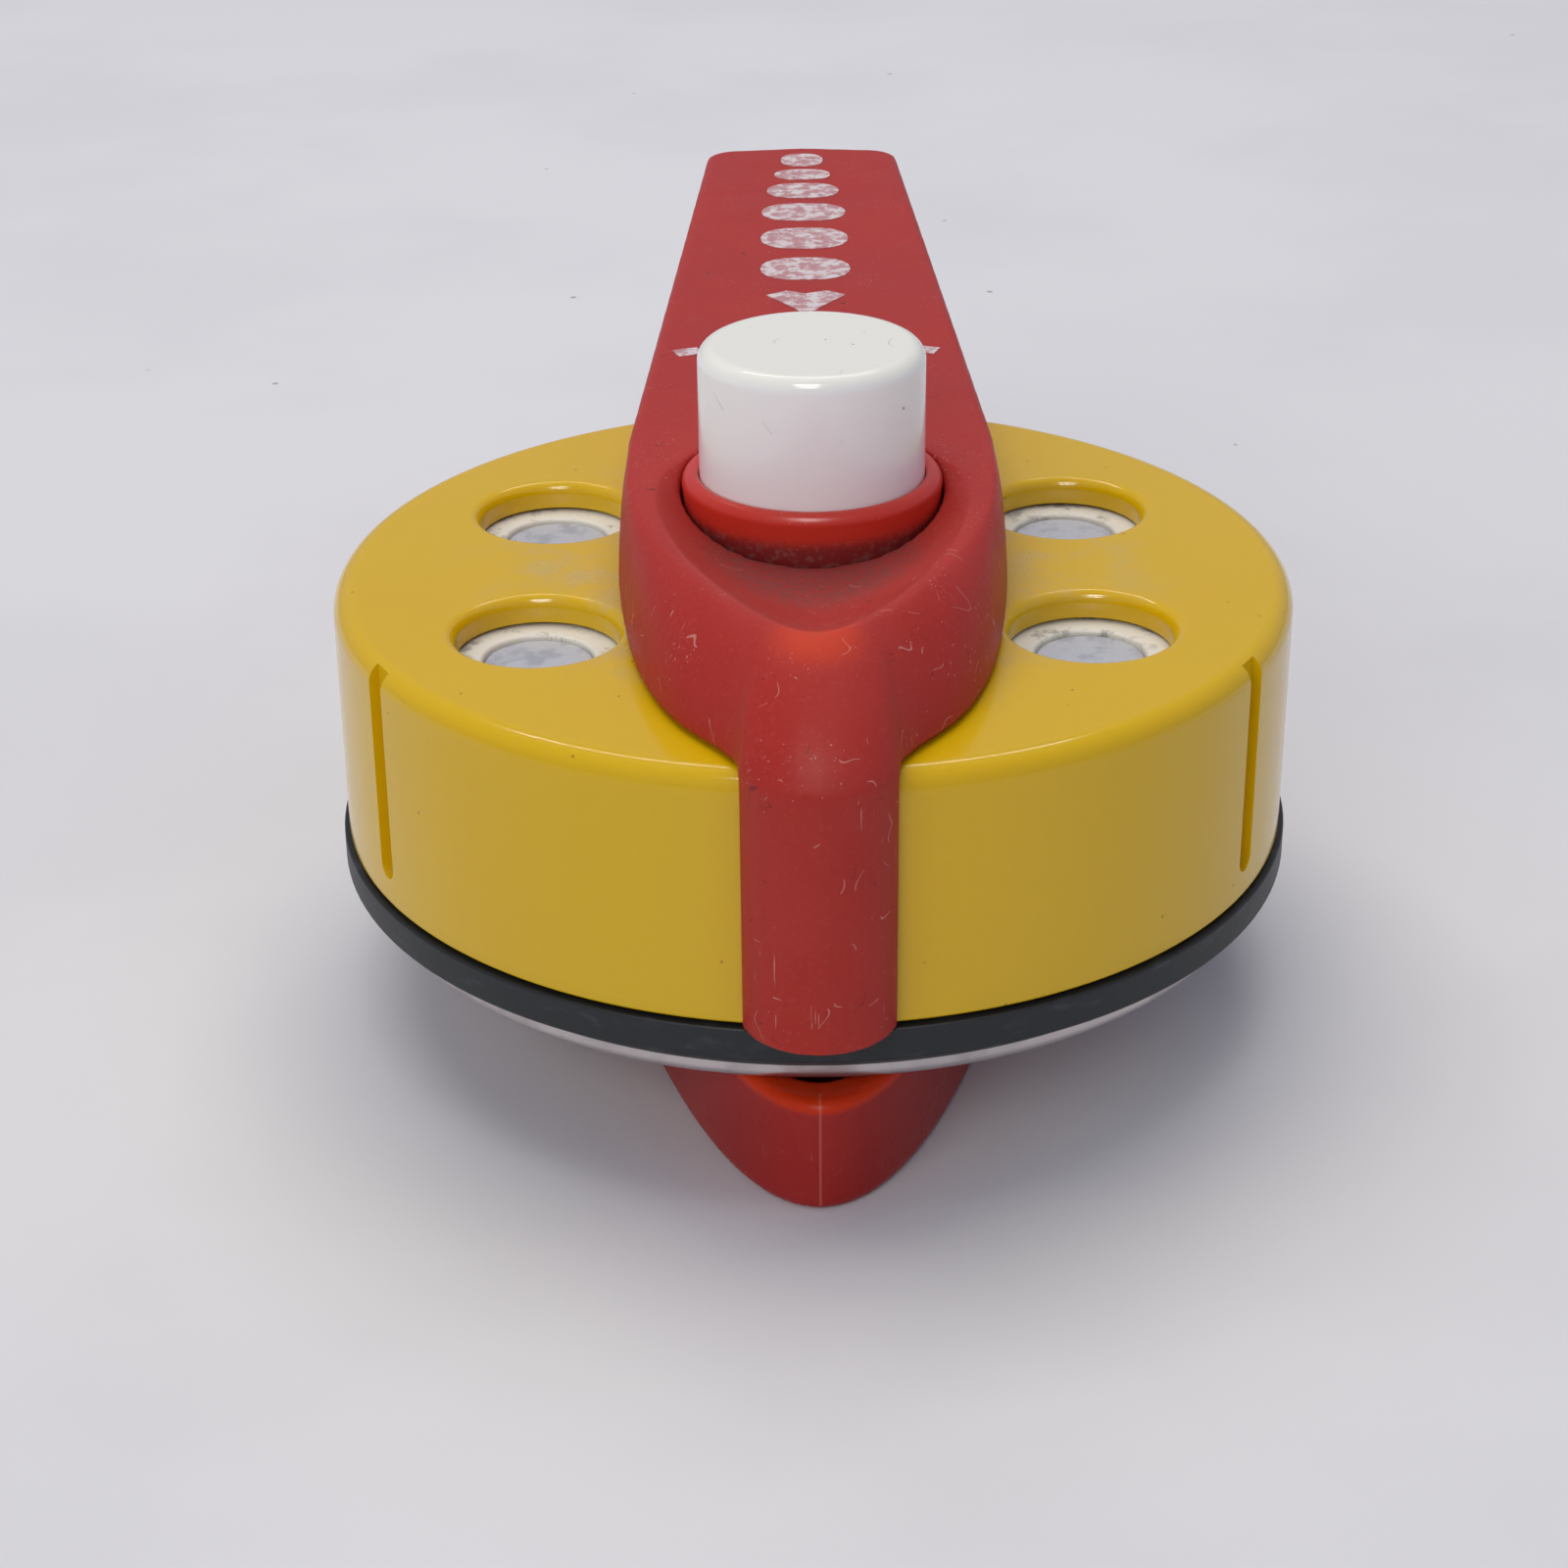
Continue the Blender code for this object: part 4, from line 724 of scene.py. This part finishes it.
# Hollow in front of the button: a rounded V in plan that deepens towards the collar.
scoopStyle = {"depth": 4.5 * mm, "curve": 3.0, "heart": -7 * mm,
              "half": [(0, -37.4), (1.6, -36.8), (3.7, -34.7), (6.2, -31.2), (8.2, -27.6), (10.0, -23.9),
                       (11.8, -19.6), (13.2, -15.0), (14.2, -10.0), (14.6, -5.0), (13.9, 0.5), (11.2, 5.0),
                       (6.0, 7.6), (0, 8.4)]}


def scoopTool():
    half = smoothLine([(x * mm, y * mm) for x, y in scoopStyle["half"]], 3)
    loop = half + [Vector((-p.x, p.y)) for p in reversed(half[1:-1])]
    heart = Vector((0, scoopStyle["heart"]))
    rings = []
    for share in (1.12, 1.0, 0.94, 0.87, 0.79, 0.7, 0.6, 0.48, 0.34, 0.18, 0.04):
        height = hubTop + 0.12 * mm - scoopStyle["depth"] * (1 - min(share, 1) ** scoopStyle["curve"])
        height += mm * max(share - 1, 0) * 10
        rings.append([(*(heart + (p - heart) * share), height) for p in loop])
    return loftRings(rings)


def makeLever():
    style = leverStyle
    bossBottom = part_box("rotor")[1][2] + 0.3 * mm
    seat = collarLow[2] - 0.3 * mm
    collarRadius = collarHigh[0]
    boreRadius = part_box("button_cap")[1][0] + 0.4 * mm
    wide = style["boss"]
    boss = spinProfile([(0, bossBottom), (wide, bossBottom), (wide, hubBottom + mm), (0, hubBottom + mm)], 64)
    bm = combine(leverBody(), [boss, noseStrip()], "UNION")
    bore = [(0, bossBottom - mm), (boreRadius, bossBottom - mm), (boreRadius, seat),
            (collarRadius + 0.15 * mm, seat), (collarRadius + 0.15 * mm, hubTop + mm), (0, hubTop + mm)]
    bm = combine(bm, [spinProfile(bore, 96), scoopTool()] + armPockets())
    bm = moulded(bm, style["grid"], style["rounds"])
    return finishPiece("leverMoulding", bm, ["lever_handle"], "lever",
                       look=leverRed(), sharp=60, weighted=False)


# Worn print on the arm: plain lozenges that lead to the button, and an arc of plain dashes behind it.
printStyle = {"rise": 0.05 * mm, "sink": 0.25 * mm,
              "lozenges": [(0, 107.5, 2.6, 2.9), (0, 101.0, 3.4, 2.3), (0, 94.0, 4.3, 3.2),
                           (0, 85.0, 4.9, 3.6), (0, 74.5, 5.0, 4.1), (0, 63.0, 5.0, 4.1)],
              "arrow": [(-4.3, 53.5), (-2.2, 55.0), (0, 54.0), (2.2, 55.0), (4.3, 53.5), (1.7, 49.6),
                        (0, 46.5), (-1.7, 49.6)],
              "dashRadius": 38.0,
              "dashes": [(-19, 2.0), (-13.4, 1.5), (-9, 1.2), (9.4, 1.4), (14, 1.8), (19.6, 2.0)]}


def makePrint():
    style = printStyle
    low, high = hubTop - style["sink"], hubTop + style["rise"]
    shapes = []
    for x, y, halfWidth, halfLength in style["lozenges"]:
        turns = [math.tau * step / 20 for step in range(20)]
        shapes.append([(x + halfWidth * math.copysign(abs(math.cos(t)) ** 0.75, math.cos(t)),
                        y + halfLength * math.copysign(abs(math.sin(t)) ** 0.9, math.sin(t))) for t in turns])
    shapes.append(style["arrow"])
    for middle, half in style["dashes"]:
        turns = [math.radians(90 + middle + half * part) for part in (-1, 0, 1)]
        outer = [(style["dashRadius"] * math.cos(t), style["dashRadius"] * math.sin(t)) for t in turns]
        inner = [(0.945 * x, 0.945 * y) for x, y in reversed(outer)]
        shapes.append(outer + inner)
    whole = bmesh.new()
    for shape in shapes:
        part = prism([(x * mm, y * mm) for x, y in shape], low, high)
        mesh = bpy.data.meshes.new("shape")
        part.to_mesh(mesh)
        part.free()
        whole.from_mesh(mesh)
        bpy.data.meshes.remove(mesh)
    return finishPiece("armPrint", whole, [], "lever",
                       slot="white_moulding", look=wornPrint(), weighted=False)


# Collar and button.
buttonStyle = {"edge": 1.5 * mm, "gap": 0.1 * mm, "wall": 1.8 * mm, "roof": 2.2 * mm}


def makeCollar():
    low, high = collarLow, collarHigh
    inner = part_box("button_cap")[1][0] + buttonStyle["gap"]
    outline = [(inner, low[2]), (high[0] - 0.35 * mm, low[2]), (high[0] - 0.3 * mm, low[2] + 2.5 * mm)]
    outline += fillet(high[0], high[2], 1.1 * mm, 0, 8) + fillet(inner, high[2] - 0.05 * mm, 0.3 * mm, 1, 4)
    return finishPiece("buttonCollar", spinProfile(outline, 128), ["button_collar"], "lever")


def makeButton():
    low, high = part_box("button_cap")
    radius = high[0]
    roof = high[2] - buttonStyle["roof"]
    inner = radius - buttonStyle["wall"]
    outline = fillet(radius, low[2], 0.3 * mm, 3, 3) + fillet(radius, high[2], buttonStyle["edge"], 0, 12)
    outline += [(radius * 0.5, high[2] - 0.02 * mm), (0, high[2] - 0.03 * mm)]
    outline += [(0, roof), (inner, roof), (inner, low[2])]
    return finishPiece("buttonCap", spinProfile(outline, 128), ["button_cap"], "button")


# The return spring: the frame's coil, copied into a piece with its own mesh.
def makeSpring():
    bm = bmesh.new()
    bm.from_mesh(frame["nodes"]["return_spring"].data)
    spring = finishPiece("springCoil", bm, ["return_spring"], "lever", weighted=False)
    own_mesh(spring)


# Keeper: a soft boat-shaped moulding with an eye in its tip.
keeperStyle = {"grid": 0.36 * mm, "rounds": 3, "tipRadius": 4.5 * mm, "eyeCentre": 38.8 * mm, "eye": 3.5 * mm,
               "edge": 1.3 * mm, "draft": 0.055, "pocketRadius": 4.2 * mm, "pocketDepth": 6.4 * mm}


# A parabola at the tip that runs on into a round stern.
def keeperOutline(half):
    tip = keeperStyle["tipRadius"]
    low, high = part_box("keeper_shoe")
    stern = high[1] - half
    across = math.sqrt(half ** 2 - tip ** 2)
    join = stern - tip
    points = []
    for step in range(-36, 36):
        share = math.copysign(abs(step / 36) ** 1.2, step)
        points.append((across * share, low[1] + (join - low[1]) * share ** 2))
    turn = math.asin(tip / half)
    return points + arcPoints(0, stern, half, -turn, math.pi + turn, 70)[:-1]


def makeKeeper():
    style = keeperStyle
    low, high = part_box("keeper_shoe")
    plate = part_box("keeper_plate")
    outline = keeperOutline(high[0])
    middle = (low[1] + high[1]) / 2
    edge = style["edge"]
    rings = []
    levels = [(low[2], 0.5 * mm), (low[2] + 0.5 * mm, 0)]
    levels += [(high[2] - edge + edge * math.sin(t), edge * (1 - math.cos(t)))
               for t in (math.radians(15 * part) for part in range(7))]
    for height, inset in levels:
        narrow = 1 - style["draft"] * (height - low[2]) / (high[2] - low[2]) - inset / high[0]
        shorter = 1 - inset / (high[1] - middle)
        rings.append([(x * narrow, middle + (y - middle) * shorter, height) for x, y in outline])
    plateCentre = (plate[0][1] + plate[1][1]) / 2
    seat = [(0, plate[0][2] - 0.3 * mm), (plate[1][0] + 0.2 * mm, plate[0][2] - 0.3 * mm),
            (plate[1][0] + 0.2 * mm, high[2] + mm), (0, high[2] + mm)]
    eye = [(0, low[2] - mm), (style["eye"], low[2] - mm), (style["eye"], high[2] + mm), (0, high[2] + mm)]
    room, foot = style["pocketRadius"], high[2] - style["pocketDepth"]
    pocket = [(0, foot), (room, foot), (room, high[2]), (0, high[2])]
    tools = [spinProfile(seat, 96, (0, plateCentre)), spinProfile(eye, 48, (0, -style["eyeCentre"])),
             spinProfile(pocket, 48)]
    bm = moulded(combine(loftRings(rings), tools), style["grid"], style["rounds"])
    return finishPiece("keeperMoulding", bm, ["keeper_shoe"], "keeper",
                       look=keeperRed(), sharp=60, weighted=False)


makeCover()
print("cover made")
makeFrictionRing()
makeFacePlate()
makeMagnets()
print("face and magnets made")
makeLever()
makePrint()
print("lever made")
makeCollar()
makeButton()
makeSpring()
makeKeeper()
print("button and keeper made")


# Camera: the position is measured from the middle of the cover's lower edge.
cameraStyle = {"lens": 72.78, "tilt": 26.5056, "roll": -0.5021,
               "from": (-2.863 * mm, -276.992 * mm, 138.741 * mm)}


def makeCamera():
    data = bpy.data.cameras.new("camera")
    data.lens = cameraStyle["lens"]
    data.sensor_width = 36
    data.clip_start = 0.01
    data.clip_end = 20
    tilt = math.radians(cameraStyle["tilt"])
    roll = math.radians(cameraStyle["roll"])
    right = Vector((1, 0, 0))
    up = Vector((0, math.sin(tilt), math.cos(tilt)))
    back = Vector((0, -math.cos(tilt), math.sin(tilt)))
    across = right * math.cos(roll) + up * math.sin(roll)
    upward = up * math.cos(roll) - right * math.sin(roll)
    turned = Matrix((across, upward, back)).transposed().to_4x4()
    spot = Vector(cameraStyle["from"]) + Vector((0, 0, coverBottom))
    camera = bpy.data.objects.new("camera", data)
    camera.matrix_world = Matrix.Translation(spot) @ turned
    bpy.context.scene.collection.objects.link(camera)
    bpy.context.scene.camera = camera


def makeFloor():
    bm = bmesh.new()
    bmesh.ops.create_grid(bm, x_segments=1, y_segments=1, size=6)
    mesh = bpy.data.meshes.new("floor")
    bm.to_mesh(mesh)
    bm.free()
    floor = bpy.data.objects.new("floor", mesh)
    bpy.context.scene.collection.objects.link(floor)
    made, tree, shader = startMaterial("paleFloor", 0.6)
    clouds = ramp(tree, grain(tree, 90 * mm, 4), 0.35, 0.7)
    tone = tint(tree, clouds, (0.74, 0.73, 0.72), (0.69, 0.68, 0.675), 0.7)
    tone = tint(tree, specks(tree, 23 * mm, 0.03), tone, (0.16, 0.13, 0.12), 0.6)
    tree.links.new(tone, shader.inputs["Base Color"])
    bump(tree, shader, grain(tree, 12 * mm, 6), 0.12 * mm, 0.5)
    mesh.materials.append(made)


# A panel lights the surfaces without showing in their gloss, and a tube is there for its highlight alone.
def areaLight(name, spot, target, size, power, colour=(1, 1, 1), mirrored=True):
    data = bpy.data.lights.new(name, "AREA")
    data.shape = "RECTANGLE"
    data.size, data.size_y = size
    data.energy = power
    data.color = colour
    lamp = bpy.data.objects.new(name, data)
    aim = Vector(target) - Vector(spot)
    lamp.matrix_world = Matrix.Translation(spot) @ aim.to_track_quat("-Z", "Y").to_matrix().to_4x4()
    lamp.visible_glossy = mirrored
    lamp.visible_diffuse = not mirrored
    bpy.context.scene.collection.objects.link(lamp)


def makeStudio():
    areaLight("overheadPanel", (-0.1, 0.35, 1.15), (0, 0, 0), (1.1, 0.8), 9.4,
              (1, 0.98, 0.93), mirrored=False)
    areaLight("lowTube", (-0.06, -0.78, 0.82), (0, 0, 0.04), (0.32, 0.010), 2.4, (1, 0.99, 0.96))
    areaLight("highTube", (-0.06, -0.50, 0.95), (0, 0, 0.04), (0.32, 0.010), 2.8, (1, 0.99, 0.96))
    areaLight("farTube", (-0.05, 0.62, 0.95), (0, 0, 0.04), (0.8, 0.022), 1.5, (1, 0.99, 0.96))
    areaLight("frontFill", (-0.6, -1.3, 0.8), (0, 0, 0.03), (1.2, 0.9), 8.4, (1, 0.975, 0.93), mirrored=False)
    world = bpy.data.worlds.new("softRoom")
    world.use_nodes = True
    world.node_tree.nodes["Background"].inputs["Color"].default_value = (0.72, 0.76, 1.0, 1)
    world.node_tree.nodes["Background"].inputs["Strength"].default_value = 0.40
    bpy.context.scene.world = world
    bpy.context.scene.view_settings.view_transform = "Standard"


makeCamera()
makeFloor()
makeStudio()
print("camera, floor and lights made")
